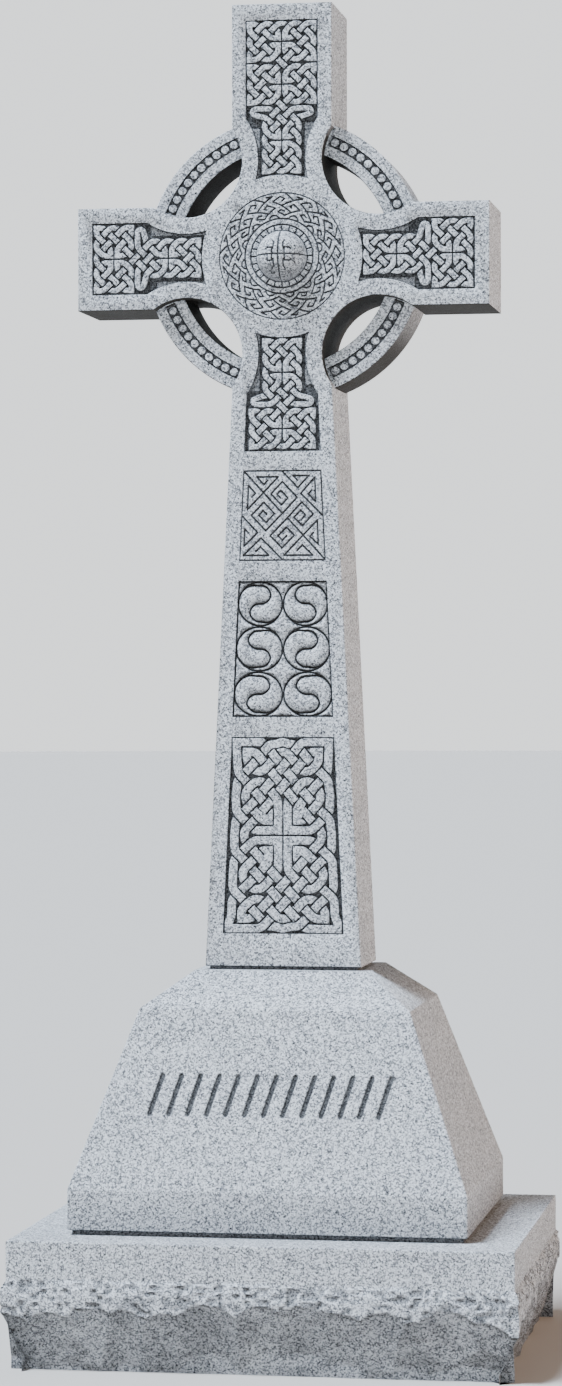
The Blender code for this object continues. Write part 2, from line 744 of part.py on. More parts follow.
class Shell:
    """Sheets from plans, joined at every change of level by upright walls; lift() places them in space."""

    def __init__(self, lift):
        self.lift = lift
        self.vertices = []
        self.faces = []
        self.index = {}
        self.levels = {}
        self.steps = []

    def name(self, spot):
        return round(spot[0] * 1e5), round(spot[1] * 1e5)

    def vertex(self, spot, level):
        name = (*self.name(spot), level)
        if name not in self.index:
            self.index[name] = len(self.vertices)
            self.vertices.append(tuple(self.lift(spot, level)))
            self.levels.setdefault(self.name(spot), set()).add(level)
        return self.index[name]

    def nearest(self, spot, level):
        """The vertex at that level closest to a spot."""
        names = [name for name in self.index if name[2] == level]
        at = np.array(names)[:, :2] - np.array(self.name(spot))
        return self.index[names[int(np.argmin((at ** 2).sum(axis=1)))]]

    def sheet(self, plan):
        """Adds a plan's triangles, notes its inner steps and returns its outer edges."""
        spots, cells = plan.solve()
        edges = {}
        for cell, level in cells:
            names = [self.name(spots[i]) for i in cell]
            if len(set(names)) < 3:
                continue
            self.faces.append([self.vertex(spots[i], level) for i in cell])
            for a, b in zip(cell, cell[1:] + cell[:1]):
                key = tuple(sorted((self.name(spots[a]), self.name(spots[b]))))
                edges.setdefault(key, []).append((spots[a], spots[b], level))
        for entries in edges.values():
            if len(entries) == 2 and entries[0][2] != entries[1][2]:
                self.steps.append((entries[0][0], entries[0][1], entries[0][2], entries[1][2]))
        return {key: entries[0] for key, entries in edges.items() if len(entries) == 1}

    def close(self):
        """Builds the upright walls, with a corner at every level that meets their ends."""
        for a, b, one, two in self.steps:
            ring = []
            for spot, start, end in ((a, one, two), (b, two, one)):
                low, high = min(start, end), max(start, end)
                between = [d for d in self.levels[self.name(spot)] if low < d < high]
                ring.append(self.vertex(spot, start))
                ring += [self.vertex(spot, d) for d in sorted(between, reverse=start > end)]
                ring.append(self.vertex(spot, end))
            self.faces.append(ring)


def carve_head(plan):
    """Sunk panels with their interlace, and the medallion with its rings round the boss."""
    for direction in ("top", "low", "left", "right"):
        plan.add(head_panel(direction), 10, -FACE + PANEL_DEPTH)
        weave = upright_weave(direction) if direction in ("top", "low") else level_weave(direction)
        for polygon in weave.segments(CURVE_STEPS):
            plan.add(polygon, 20, -FACE)
    rank = 10
    for radius in (MEDALLION_RADIUS, COLLAR_RADIUS):
        plan.add(disc((0, 0), radius, MEDALLION_STEPS), rank, -FACE + LINE_DEPTH)
        plan.add(disc((0, 0), radius - LINE_WIDTH, MEDALLION_STEPS), rank + 1, -FACE)
        rank += 2
    plan.add(disc((0, 0), DENTIL_OUTER, MEDALLION_STEPS), rank, -FACE + LINE_DEPTH)
    plan.add(disc((0, 0), BOSS_RADIUS, MEDALLION_STEPS), rank + 1, -FACE)


def carve_shaft(plan):
    """The key pattern, the spirals and the large interlace on the shaft."""
    line = -FACE + LINE_DEPTH
    frame = trapezium(FRET_TOP, FRET_BOTTOM, FRET_MARGIN)
    plan.add(frame, 10, line)
    plan.add(inward(frame, LINE_WIDTH), 11, -FACE)
    for path in key_lines():
        plan.add(stroke(path, LINE_WIDTH), 12, line)
    plan.add(trapezium(SPIRAL_TOP, SPIRAL_BOTTOM, SPIRAL_MARGIN), 10, line)
    for centre, half_width, half_height, turning in spiral_cells():
        circle = disc((0, 0), 1.0, CIRCLE_STEPS) * (half_width - LINE_WIDTH, half_height - LINE_WIDTH)
        plan.add(circle + centre, 11, -FACE)
        path = spiral_path(centre, half_width - LINE_WIDTH, half_height - LINE_WIDTH, turning, SPIRAL_STEPS)
        plan.add(stroke(path, LINE_WIDTH), 12, line)
    plan.add(trapezium(KNOT_TOP, KNOT_BOTTOM, KNOT_MARGIN), 10, -FACE + PANEL_DEPTH)
    for polygon in knot_weave().segments(CURVE_STEPS):
        plan.add(polygon, 20, -FACE)


def carve_ring(plan):
    """The sunk channel in each quarter of the ring."""
    radius = (RING_OUTER + RING_INNER) / 2
    for quarter in range(4):
        start = 45 + 90 * quarter - CHANNEL_REACH
        end = 45 + 90 * quarter + CHANNEL_REACH
        outer = arc((0, 0), radius + CHANNEL_WIDTH / 2, start, end, CHANNEL_STEPS)
        inner = arc((0, 0), radius - CHANNEL_WIDTH / 2, end, start, CHANNEL_STEPS)
        plan.add(np.vstack((outer, inner)), 2, -RING_FACE + CHANNEL_DEPTH)


def add_boss(shell):
    """The boss: a half ball in place of its circle on the face."""
    rings = 4
    rim = disc((0, 0), BOSS_RADIUS, MEDALLION_STEPS)
    loop = [shell.nearest(spot, -FACE) for spot in rim]
    inside = set(loop)
    shell.faces = [face for face in shell.faces if not inside.issuperset(face)]
    for step in range(1, rings):
        lift = math.pi / 2 * step / rings
        out = -FACE - BOSS_RADIUS * math.sin(lift)
        following = []
        for x, z in rim * math.cos(lift):
            following.append(len(shell.vertices))
            shell.vertices.append((x, out, z + CENTRE))
        for i in range(MEDALLION_STEPS):
            j = (i + 1) % MEDALLION_STEPS
            shell.faces.append([loop[i], loop[j], following[j], following[i]])
        loop = following
    top = len(shell.vertices)
    shell.vertices.append((0.0, -FACE - BOSS_RADIUS, CENTRE))
    for i in range(MEDALLION_STEPS):
        shell.faces.append([loop[i], loop[(i + 1) % MEDALLION_STEPS], top])


def add_foot(shell):
    """The bed of the cross, drawn in behind a shallow rebate all round."""
    half = shaft_half(CROSS_HEIGHT - HEAD_DROP - CROSS_REBATE_HEIGHT)
    foot = HEAD_DROP - CROSS_HEIGHT + CROSS_REBATE_HEIGHT
    rim = ((-half, -FACE), (half, -FACE), (half, FACE), (-half, FACE))
    loop = [shell.nearest((x, foot), y) for x, y in rim]
    shell.faces = [face for face in shell.faces if set(face) != set(loop)]
    for level in (CROSS_FOOT + CROSS_REBATE_HEIGHT, CROSS_FOOT):
        following = []
        for x, y in rim:
            following.append(len(shell.vertices))
            inset_x = x - math.copysign(CROSS_REBATE_DEPTH, x)
            shell.vertices.append((inset_x, y - math.copysign(CROSS_REBATE_DEPTH, y), level))
        for i in range(4):
            j = (i + 1) % 4
            shell.faces.append([loop[i], loop[j], following[j], following[i]])
        loop = following
    shell.faces.append(loop)


def build_cross(material):
    """Shaft, arms, ring, boss and carving in one stone."""
    front = Plan()
    back = Plan()
    for plan, face, ring in ((front, -FACE, -RING_FACE), (back, FACE, RING_FACE)):
        plan.add(disc((0, 0), RING_OUTER, RING_STEPS), 0, ring)
        plan.add(disc((0, 0), RING_INNER, RING_STEPS), 4, None)
        plan.add(cross_outline(), 5, face)
    carve_ring(front)
    carve_head(front)
    carve_shaft(front)
    shell = Shell(lambda spot, level: (spot[0], level, spot[1] + CENTRE))
    front_edges = shell.sheet(front)
    back_edges = shell.sheet(back)
    for key, (a, b, level) in front_edges.items():
        shell.steps.append((a, b, level, back_edges[key][2]))
    shell.close()
    add_boss(shell)
    add_foot(shell)
    return add_object("cross", shell.vertices, shell.faces, material)


def strokes_plan(run):
    """The battered front face, laid flat, with its row of shallow leaning strokes."""
    plan = Plan()
    low, high = PEDESTAL_WIDTH / 2, PEDESTAL_BREAK_WIDTH / 2
    plan.add([(-low, 0), (low, 0), (high, run), (-high, run)], 0, 0.0)
    middle = (STROKE_RISE - PEDESTAL_BAND) / (PEDESTAL_BREAK - PEDESTAL_BAND) * run
    pitch = (STROKE_ROW - STROKE_WIDTH) / (STROKES - 1)
    for number in range(STROKES):
        x = (number - (STROKES - 1) / 2) * pitch
        foot = (x - STROKE_LEAN / 2, middle - STROKE_HEIGHT / 2)
        head = (x + STROKE_LEAN / 2, middle + STROKE_HEIGHT / 2)
        plan.add(stroke([foot, head], STROKE_WIDTH), 1, STROKE_DEPTH)
    return plan


def build_pedestal(material):
    """The die: band, battered part and weathering, over a bed drawn in behind a rebate."""
    back_off = (PEDESTAL_DEPTH - PEDESTAL_BREAK_DEPTH) / 2
    rise = PEDESTAL_BREAK - PEDESTAL_BAND
    run = math.hypot(back_off, rise)
    up = np.array((0, back_off / run, rise / run))
    inwards = np.array((0, rise / run, -back_off / run))
    corner = np.array((0, -PEDESTAL_DEPTH / 2, BASE_TOP + PEDESTAL_BAND))
    shell = Shell(lambda spot, level: corner + (spot[0], 0, 0) + up * spot[1] + inwards * level)
    shell.sheet(strokes_plan(run))
    shell.close()
    vertices = shell.vertices
    faces = shell.faces
    width, depth = PEDESTAL_WIDTH / 2, PEDESTAL_DEPTH / 2
    inset = PEDESTAL_REBATE_DEPTH
    rebate = BASE_TOP + PEDESTAL_REBATE_HEIGHT
    loops = [(BASE_TOP + BED_GAP, width - inset, depth - inset), (rebate, width - inset, depth - inset),
             (rebate, width, depth), (BASE_TOP + PEDESTAL_BAND, width, depth),
             (BASE_TOP + PEDESTAL_BREAK, PEDESTAL_BREAK_WIDTH / 2, PEDESTAL_BREAK_DEPTH / 2),
             (PEDESTAL_TOP, PEDESTAL_TOP_WIDTH / 2, PEDESTAL_TOP_DEPTH / 2)]
    first = len(vertices)
    for level, half_width, half_depth in loops:
        for side, front in ((-1, -1), (1, -1), (1, 1), (-1, 1)):
            vertices.append((side * half_width, front * half_depth, level))
    for number in range(len(loops) - 1):
        for i in range(4):
            if number == 3 and i == 0:
                continue
            at = first + 4 * number
            j = (i + 1) % 4
            faces.append([at + i, at + j, at + 4 + j, at + 4 + i])
    faces.append([first + i for i in range(4)])
    faces.append([len(vertices) - 4 + i for i in range(4)])
    return add_object("pedestal", vertices, faces, material)


def roughness(column, row):
    """A repeatable value from 0 to 1 for a facet corner of the rock face."""
    value = math.sin(column * 12.9898 + row * 78.233) * 43758.5453
    return value - math.floor(value)


def build_base(material):
    """The ground stone: a smooth margin over rock-pitched sides, whose foot draws back."""
    half = (BASE_WIDTH / 2, BASE_DEPTH / 2)
    counts = [max(3, round(size / PITCH_STEP)) for size in (BASE_WIDTH, BASE_DEPTH)]
    rows = 5
    face = BASE_HEIGHT - BASE_MARGIN
    columns = []
    for side in range(4):
        count = counts[side % 2]
        out = ((0, -1), (1, 0), (0, 1), (-1, 0))[side]
        along = (-out[1], out[0])
        long, deep = (half[0], half[1]) if side % 2 == 0 else (half[1], half[0])
        rough = [[roughness(side * 37 + i, row) for row in range(1, rows)] for i in range(count)]
        peak = max(value[row] for value in rough[1:] for row in range(2))
        for i in range(count):
            place = -long + 2 * long * i / count
            spots = [(place * along[0] + deep * out[0], place * along[1] + deep * out[1], face)]
            for row in range(1, rows):
                level = face * (1 - row / (rows - 1))
                push = -PITCH_UNDERCUT * (0.3 + 0.7 * rough[i][row - 1]) if row == rows - 1 else 0.0
                if row < rows - 1 and i > 0:
                    push = PITCH_BULGE * (rough[i][row - 1] / peak if row <= 2 else 0.5 * rough[i][row - 1])
                x = place * along[0] + (deep + push) * out[0]
                y = place * along[1] + (deep + push) * out[1]
                if i == 0 and row == rows - 1:
                    x -= push * -math.copysign(1, x) * abs(along[0])
                    y -= push * -math.copysign(1, y) * abs(along[1])
                wobble = 0.0 if row == rows - 1 else face * 0.06 * (roughness(i, row + 9 * side) - 0.5)
                spots.append((x, y, level + wobble))
            columns.append(spots)
    vertices = []
    faces = []
    for spots in columns:
        vertices.append((spots[0][0], spots[0][1], BASE_HEIGHT))
        vertices += spots
    height = rows + 1
    total = len(columns)
    for number in range(total):
        one, two = number * height, (number + 1) % total * height
        faces.append([one, two, two + 1, one + 1])
        for row in range(1, rows):
            a, b, c, d = one + row, two + row, two + row + 1, one + row + 1
            faces += [[a, b, c], [a, c, d]] if (number + row) % 2 else [[a, b, d], [b, c, d]]
    faces.append([number * height for number in range(total)])
    faces.append([number * height + rows for number in range(total)])
    return add_object("base", vertices, faces, material)


build_base(granite("base granite", (0.50, 0.50, 0.50)))
build_pedestal(granite("pedestal granite", (0.56, 0.56, 0.57)))
build_cross(granite("cross granite", (0.62, 0.62, 0.63)))
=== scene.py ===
"""Celtic cross headstone: the carved granite finish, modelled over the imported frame.

Metres, +Z up, the carved face towards -Y. Run it as a script; the panel in the sidebar lists its steps.
"""

import math
from collections import namedtuple

import bmesh
import bpy
import numpy as np
from mathutils import Matrix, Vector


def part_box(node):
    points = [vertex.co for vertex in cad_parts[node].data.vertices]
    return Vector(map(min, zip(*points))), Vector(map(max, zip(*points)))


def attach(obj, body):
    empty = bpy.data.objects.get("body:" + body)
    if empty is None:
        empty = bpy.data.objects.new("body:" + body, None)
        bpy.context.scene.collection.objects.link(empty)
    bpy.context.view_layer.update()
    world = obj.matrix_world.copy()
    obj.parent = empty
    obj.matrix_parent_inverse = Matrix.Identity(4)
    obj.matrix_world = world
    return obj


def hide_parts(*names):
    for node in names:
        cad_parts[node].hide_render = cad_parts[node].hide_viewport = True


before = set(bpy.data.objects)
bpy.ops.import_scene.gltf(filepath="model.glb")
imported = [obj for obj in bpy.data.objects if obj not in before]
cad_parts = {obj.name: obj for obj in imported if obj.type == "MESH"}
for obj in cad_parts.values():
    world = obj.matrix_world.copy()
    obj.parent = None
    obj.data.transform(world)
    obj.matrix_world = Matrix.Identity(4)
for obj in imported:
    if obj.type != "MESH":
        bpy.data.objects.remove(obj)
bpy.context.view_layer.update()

bl_info = {
    "name": "Celtic Cross Headstone",
    "version": (1, 0, 0),
    "blender": (4, 5, 0),
    "location": "View3D > Sidebar > Headstone",
    "description": "Builds the carved granite surfaces of a ring cross on its pedestal and rock-faced base",
    "category": "Object",
}

# Places of the stones, from the frame.
CROSS_LOW, CROSS_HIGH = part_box("cross")
PEDESTAL_LOW, PEDESTAL_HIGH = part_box("pedestal")
BASE_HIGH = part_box("base")[1]
FACE = CROSS_HIGH.y                 # half the thickness of the cross
HEAD_DROP = 0.4909                  # from the top down to the centre of the arms
CENTRE = CROSS_HIGH.z - HEAD_DROP
ARM_SPAN = 2 * CROSS_HIGH.x
CROSS_HEIGHT = CROSS_HIGH.z - CROSS_LOW.z
SHAFT_DROP = CROSS_HEIGHT - HEAD_DROP

# Outline of the head and the shaft.
FOOT_WIDTH = 0.3077
NECK_WIDTH = 0.1972
ARM_HEIGHT = 0.2002
TOP_ARM_WIDTH = 0.1964
THROAT_OFFSET = 0.1891              # centre of each throat, across and up
THROAT_RADIUS = 0.1105
RING_OUTER = 0.2743
RING_INNER = 0.2120
RING_FACE = 0.0720                  # half the thickness of the ring
CROSS_REBATE_HEIGHT = 0.006
CROSS_REBATE_DEPTH = 0.008

# Sunk panels of the head.
TOP_MARGIN = 0.0270
SIDE_MARGIN = 0.0305
ARM_MARGIN = 0.0285
THROAT_MARGIN = 0.0320
PANEL_NEAR = 0.1580
TOP_FAR = HEAD_DROP - 0.0327
TOP_SEAM = PANEL_NEAR + (TOP_FAR - PANEL_NEAR) * 0.4463
TOP_ROW = (TOP_FAR - TOP_SEAM) / 6
SIDE_FAR = ARM_SPAN / 2 - 0.0303
SIDE_SEAM = PANEL_NEAR + (SIDE_FAR - PANEL_NEAR) * 0.6172
SIDE_ROW = (SIDE_FAR - SIDE_SEAM) / 3
LOW_SEAM = 0.2938
LOW_ROW = 0.0277
LOW_FAR = LOW_SEAM + 3 * LOW_ROW
FAR_GAP = 0.0020
NARROW_CELL = 0.0270
WIDE_CELL = 0.0280
SIDE_CELL = 0.0273
EAR_IN = 0.0300
EAR_OUT = 0.0573
EAR_BEND = 0.0065
EAR_LINE = 0.0057
EAR_DROP = 0.0210

# Panels of the shaft, as distances below the centre of the arms.
FRET_TOP = 0.4160
FRET_BOTTOM = 0.5920
FRET_MARGIN = 0.0295
FRET_STEP = 0.0076
SPIRAL_TOP = 0.6315
SPIRAL_BOTTOM = 0.8955
SPIRAL_MARGIN = 0.0300
SPIRAL_ROWS = 3
SPIRAL_BED = 0.0132
KNOT_TOP = 0.9350
KNOT_BOTTOM = 1.3170
KNOT_MARGIN = 0.0310
FRET = (FRET_TOP, FRET_BOTTOM, FRET_MARGIN)
SPIRALS = (SPIRAL_TOP, SPIRAL_BOTTOM, SPIRAL_MARGIN)
KNOT = (KNOT_TOP, KNOT_BOTTOM, KNOT_MARGIN)

# Medallion, from its rim inwards.
MEDALLION_RADIUS = 0.1238
BAND_INNER = 0.0735
COLLAR_INNER = 0.0612
BOSS_RADIUS = 0.0490

# Pedestal, as heights above the top of the base.
BASE_TOP = BASE_HIGH.z
PEDESTAL_REBATE_HEIGHT = 0.0095
PEDESTAL_REBATE_DEPTH = 0.008
PEDESTAL_BAND = 0.0866
PEDESTAL_BREAK = 0.4258
PEDESTAL_BREAK_WIDTH = 0.5257
PEDESTAL_BREAK_DEPTH = 0.418
PEDESTAL_TOP_WIDTH = 0.3402
PEDESTAL_TOP_DEPTH = 0.2555

# Base.
PITCH_BULGE = 0.010
BASE_MARGIN = 0.0693

# Carving.
# An arris as shares of its width: in from the side, in from the face.
SOFT_ARRIS = np.array(((1.0, 0.0), (0.45, 0.12), (0.12, 0.45), (0.0, 1.0)))
BACK_ARRIS = np.array(((0.0, 1.0), (0.3, 0.3), (1.0, 0.0)))
TILE_BED = 0.008                    # depth of the beds of the key tile and the medallion
PANEL_BED = 0.002                   # depth of a sunk panel's bed below its ground
BED_GAP = 0.0002                    # between a tile's back and its bed
BED_MOUTH = [(0.0008, -0.01), (0.0008, 0.0), (0.0, 0.0009)]     # flare of a bed at the face: (out, depth)
HEAD_GRID, KNOT_GRID, KEY_GRID, SPIRAL_GRID = 0.0017, 0.0018, 0.00078, 0.00088      # between grid points
FRAME_LINE = 0.0008                 # from a tile's edge to the line that frames it
CHANNEL_HALF = 0.0105               # the ring's channel: half its width, the lean of its walls and its depth
CHANNEL_WALL = 0.0006
CHANNEL_DEPTH = 0.0045
PELLET_PITCH = 4.6                  # degrees between pellets
PELLET = np.array(((0.0079, 0.0050), (0.0079, 0.0011), (0.0074, 0.0003), (0.0062, -0.0001),
                   (0.0035, -0.0003)))              # radius and depth along its profile
BOSS_LINE_DEPTH = 0.0026
BOSS_HOOKS = [[(0.0125, 0.0), (0.0125, 0.0120)], [(0.0110, 0.0130), (0.0225, 0.0125), (0.0245, 0.0100)],
              [(0.0100, 0.0130), (0.0095, 0.0235), (0.0120, 0.0270)]]
BOSS_PIT = 0.0112                   # across and up from the middle to each pit
BOSS_PIT_DEPTH = 0.004
STROKE_DEPTH = 0.0032
STROKE_GRID = 0.00125
STROKE_CLEAR = 0.006                # fine grid round the row of strokes

# Grains to the metre, and finishes.
GRAINS, SPECKS = 370.0, 700.0
SLOW_TONES, FINE_TOOLING = 9.0, 520.0
FINISHES = {"dressed granite": {}, "carved granite": {"relief": 0.45}, "honed granite": {"rough": 0.50},
            "pedestal granite": {"tone": 0.97}, "pitched granite": {"tone": 0.95, "relief": 0.5}}

# Rock face: for each group of cuts the spacing, the highest and lowest rim below the margin, slope and width.
SCALLOPS = ((0.082, 0.034, 0.066, 0.33, 0.058), (0.125, 0.054, 0.088, 0.42, 0.060),
            (0.21, 0.080, 0.104, 0.44, 0.10))
ROCK_SPACING = 0.0031
DEEPEST_BITE = -0.030


class HeadstoneSizes(bpy.types.PropertyGroup):
    """Sizes of the carving that a mason would choose."""

    arris: bpy.props.FloatProperty(
        name="Arris", description="Width of the softened outer edges of the stones", default=0.0028,
        unit="LENGTH")
    panel_depth: bpy.props.FloatProperty(
        name="Panel depth", description="How far the ground of an interlace panel is sunk", default=0.005,
        unit="LENGTH")
    line_width: bpy.props.FloatProperty(
        name="Line width", description="Width of an incised line at the face", default=0.0041, unit="LENGTH")
    line_depth: bpy.props.FloatProperty(
        name="Line depth", description="Depth of an incised line", default=0.003, unit="LENGTH")
    strand: bpy.props.FloatProperty(
        name="Strand", description="Width of a strand in the head's panels", default=0.0106, unit="LENGTH")
    strand_gap: bpy.props.FloatProperty(
        name="Strand gap", description="Gap beside a strand that passes over", default=0.0028, unit="LENGTH")
    knot_strand: bpy.props.FloatProperty(
        name="Knot strand", description="Width of a strand in the large knot", default=0.0161, unit="LENGTH")
    knot_gap: bpy.props.FloatProperty(
        name="Knot gap", description="Gap beside a strand in the large knot", default=0.0031, unit="LENGTH")
    pillow: bpy.props.FloatProperty(
        name="Pillow", description="How far the spiral lobes fall away towards their edges", default=0.0092,
        unit="LENGTH")
    pellets: bpy.props.IntProperty(
        name="Pellets", description="Small discs in each quarter of the ring", default=10, min=1)
    dentils: bpy.props.IntProperty(
        name="Dentils", description="Small blocks round the boss", default=24, min=4)
    strokes: bpy.props.IntProperty(
        name="Strokes", description="Plain strokes in the row on the pedestal", default=13, min=2)
    stroke_row: bpy.props.FloatProperty(
        name="Stroke row", description="Length of the row of strokes", default=0.455, unit="LENGTH")
    stroke_height: bpy.props.FloatProperty(
        name="Stroke height", description="Height of the row of strokes", default=0.084, unit="LENGTH")
    stroke_width: bpy.props.FloatProperty(
        name="Stroke width", description="Width of one stroke", default=0.013, unit="LENGTH")
    stroke_lean: bpy.props.FloatProperty(
        name="Stroke lean", description="How far a stroke leans over its height", default=0.022,
        unit="LENGTH")
    stroke_rise: bpy.props.FloatProperty(
        name="Stroke rise", description="Middle of the row above the base", default=0.2655, unit="LENGTH")


class HeadstoneColours(bpy.types.PropertyGroup):
    """Colours of the granite's grains, of the dark stain and painted shade in its carving and on faces that
    look down, and of the floor.
    """

    pale: bpy.props.FloatVectorProperty(
        name="Feldspar", description="Pale grains", subtype="COLOR", default=(0.72, 0.74, 0.77))
    grey: bpy.props.FloatVectorProperty(
        name="Quartz", description="Grey grains", subtype="COLOR", default=(0.205, 0.215, 0.235))
    dark: bpy.props.FloatVectorProperty(
        name="Mica", description="Dark grains", subtype="COLOR", default=(0.018, 0.018, 0.022))
    # Colour of the painted shade on faces that look down and on the walls of the head's openings.
    painted_shade: bpy.props.FloatVectorProperty(
        name="Painted shade", description="Sheltered faces that look down", subtype="COLOR", size=3,
        default=(0.028, 0.025, 0.021))
    # Colour of the dark stain in the sunk carving, which also paints the shade in its grooves and hollows.
    groove_stain_and_shade: bpy.props.FloatVectorProperty(
        name="Stain and shade", description="Stain and painted shade in the sunk carving", subtype="COLOR", default=(0.012, 0.012, 0.013))
    floor: bpy.props.FloatVectorProperty(
        name="Floor", description="Studio floor", subtype="COLOR", default=(0.60, 0.56, 0.52))


# Meshes from arrays.
def grid_faces(rows, columns, wrap=False):
    """Quads between neighbouring points of a grid; with wrap, the last column meets the first."""
    i = np.arange(rows - 1)[:, None]
    j = np.arange(columns if wrap else columns - 1)[None]
    across = (j + 1) % columns
    corners = (i * columns + j, i * columns + across, (i + 1) * columns + across, (i + 1) * columns + j)
    return list(np.stack([c + 0 * i + 0 * j for c in corners], axis=-1).reshape(-1, 4))


def capped_faces(rows, columns):
    """The quads of a grid whose last column meets the first, with a face over each end."""
    return grid_faces(rows, columns, wrap=True) + [list(range(columns)),
                                                   list(range(columns * (rows - 1), columns * rows))]


def rim(grid):
    """The outermost values of a grid, once round from its first corner."""
    return np.concatenate((grid[0, :-1], grid[:-1, -1], grid[-1, :0:-1], grid[:0:-1, 0]))


def closed(points):
    """The points with the first one again at the end."""
    return np.concatenate((points, points[:1]))


def polar(radius, angle):
    """Plan points at a radius and an angle in radians."""
    return np.stack(np.broadcast_arrays(radius * np.cos(angle), radius * np.sin(angle)), axis=-1)


def whole_turn(steps):
    """Equal angles round a circle, in radians."""
    return np.arange(steps) / steps * 2 * math.pi


def read(rows, name, width, kind=np.float32):
    """One property of a mesh's vertices, corners or faces as an array."""
    values = np.empty(len(rows) * width, kind)
    rows.foreach_get(name, values)
    return values.reshape(-1, width)


def write(mesh, name, domain, values):
    """A named number for each vertex or each face corner."""
    layer = mesh.attributes.get(name) or mesh.attributes.new(name, "FLOAT", domain)
    layer.data.foreach_set("value", np.asarray(values, np.float32))


def add_piece(name, shells, finish, colours, stone="cross", angle=35, merge=2e-6, painted_shade=1.0):
    """One object from closed shells, each given as points, faces and how much dark stain and painted shade
    each point gets.

    Doubles are merged, faces turned outwards, and edges sharper than the angle stay crisp.
    """
    points, faces, dirt_and_shade, start = [], [], [], 0
    for spots, polygons, grime_and_shade in shells:
        points.append(np.reshape(spots, (-1, 3)))
        faces += [(np.asarray(polygon) + start).tolist() for polygon in polygons]
        dirt_and_shade.append(np.broadcast_to(np.ravel(grime_and_shade), len(points[-1])))
        start += len(points[-1])
    mesh = bpy.data.meshes.new(name)
    mesh.from_pydata(np.vstack(points).tolist(), [], faces)
    # How much dark stain and painted shade each point gets.
    write(mesh, "dirt_and_shade", "POINT", np.concatenate(dirt_and_shade))
    shape = bmesh.new()
    shape.from_mesh(mesh)
    bmesh.ops.remove_doubles(shape, verts=shape.verts, dist=merge)
    bmesh.ops.dissolve_degenerate(shape, edges=shape.edges, dist=1e-7)
    bmesh.ops.recalc_face_normals(shape, faces=shape.faces)
    shape.to_mesh(mesh)
    shape.free()
    mesh.materials.append(finish_named(finish, colours))
    return dress(name, mesh, stone, angle, painted_shade)


def dress(name, mesh, stone, angle, painted_shade):
    """The object for a mesh, hung from the root body, with the frame's part for the stone that it stands for
    hidden.

    Wide faces lead the shading at their edges, so they stay flat beside a softened arris. The painted-shade
    attribute is the share by which the surface looks down, where the material paints shade.
    """
    mesh.polygons.foreach_set("use_smooth", np.ones(len(mesh.polygons), bool))
    mesh.set_sharp_from_angle(angle=math.radians(angle))
    # Painted shade on the faces that look down, from the corner normals.
    write(mesh, "painted_shade_share", "CORNER", painted_shade * looks_down(read(mesh.corner_normals, "vector", 3)))
    piece = bpy.data.objects.new(name, mesh)
    bpy.context.scene.collection.objects.link(piece)
    weights = piece.modifiers.new("flat faces", "WEIGHTED_NORMAL")
    weights.keep_sharp = True
    weights.weight = 100
    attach(piece, "root")
    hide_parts(stone)
    return piece


def looks_down(normals):
    """0 where a normal is level or looks up and 1 where it looks well down, with a soft step between."""
    return smooth_step(0.12, 0.75, -normals[:, 2])


def paint_shade_on_throats(piece, reach):
    """Painted shade on faces that look down, and on the walls round the head's openings.

    A wall counts by how far its middle is inside the reach from the head's middle, and by how far it looks
    sideways.
    """
    faces = piece.data.polygons
    middles = read(faces, "center", 3)
    normals = read(faces, "normal", 3)
    away = np.hypot(middles[:, 0], middles[:, 2] - CENTRE)
    inside = smooth_step(reach, reach - 0.03, away) * smooth_step(0.7, 0.3, np.abs(normals[:, 1]))
    # Painted shade: the larger of the down-facing share and the opening-wall share.
    painted_shade_share = np.maximum(1.2 * looks_down(normals), 1.15 * inside)
    write(piece.data, "painted_shade_share", "CORNER", np.repeat(painted_shade_share, read(faces, "loop_total", 1, np.int32)[:, 0]))


def placed(plan, depth):
    """Points on the cross: a plan point round the centre of the arms, and a depth behind the front face."""
    plan = np.asarray(plan, float)
    depth = np.broadcast_to(depth, plan.shape[:-1])
    return np.stack((plan[..., 0], -FACE + depth, plan[..., 1] + CENTRE), axis=-1)


def prism(polygon, loops):
    """A closed solid from one polygon carried through loops of (outward offset, depth)."""
    rings = [placed(inward(polygon, -out), depth) for out, depth in loops]
    return np.vstack(rings), capped_faces(len(loops), len(polygon))


def ease(share):
    """A soft S from 0 to 1: three times the square less twice the cube."""
    return share * share * (3.0 - 2.0 * share)


def smooth_step(low, high, value):
    """0 below low, 1 above high and a soft S between them."""
    return ease(np.clip((value - low) / (high - low), 0.0, 1.0))


def hash_noise(u, v, seed):
    """Smooth noise from 0 to 1: whole-number corners get a repeatable value, blended between them."""
    low_u, low_v = np.floor(u), np.floor(v)
    share_u, share_v = ease(u - low_u), ease(v - low_v)

    def corner(a, b):
        """The last digits of a large sine."""
        value = np.sin(a * 12.9898 + b * 78.233 + seed * 37.719) * 43758.5453
        return value - np.floor(value)

    low = corner(low_u, low_v) * (1 - share_u) + corner(low_u + 1, low_v) * share_u
    high = corner(low_u, low_v + 1) * (1 - share_u) + corner(low_u + 1, low_v + 1) * share_u
    return low * (1 - share_v) + high * share_v


def distance_to_lines(points, lines):
    """Shortest distance from each plan point to any of the polylines."""
    flat = points.reshape(-1, 2)
    nearest = np.full(len(flat), 1.0)
    for line in lines:
        line = np.asarray(line, float)
        for start, end in zip(line[:-1], line[1:]):
            run = end - start
            share = np.clip((flat - start) @ run / (run @ run), 0.0, 1.0)
            off = flat - start - share[:, None] * run
            nearest = np.minimum(nearest, np.hypot(off[:, 0], off[:, 1]))
    return nearest.reshape(points.shape[:-1])


def groove(distance, width, depth):
    """Depth of an incised line: full over its middle, with sides that lean out to the face."""
    return depth * (1.0 - smooth_step(0.18 * width, 0.58 * width, distance))


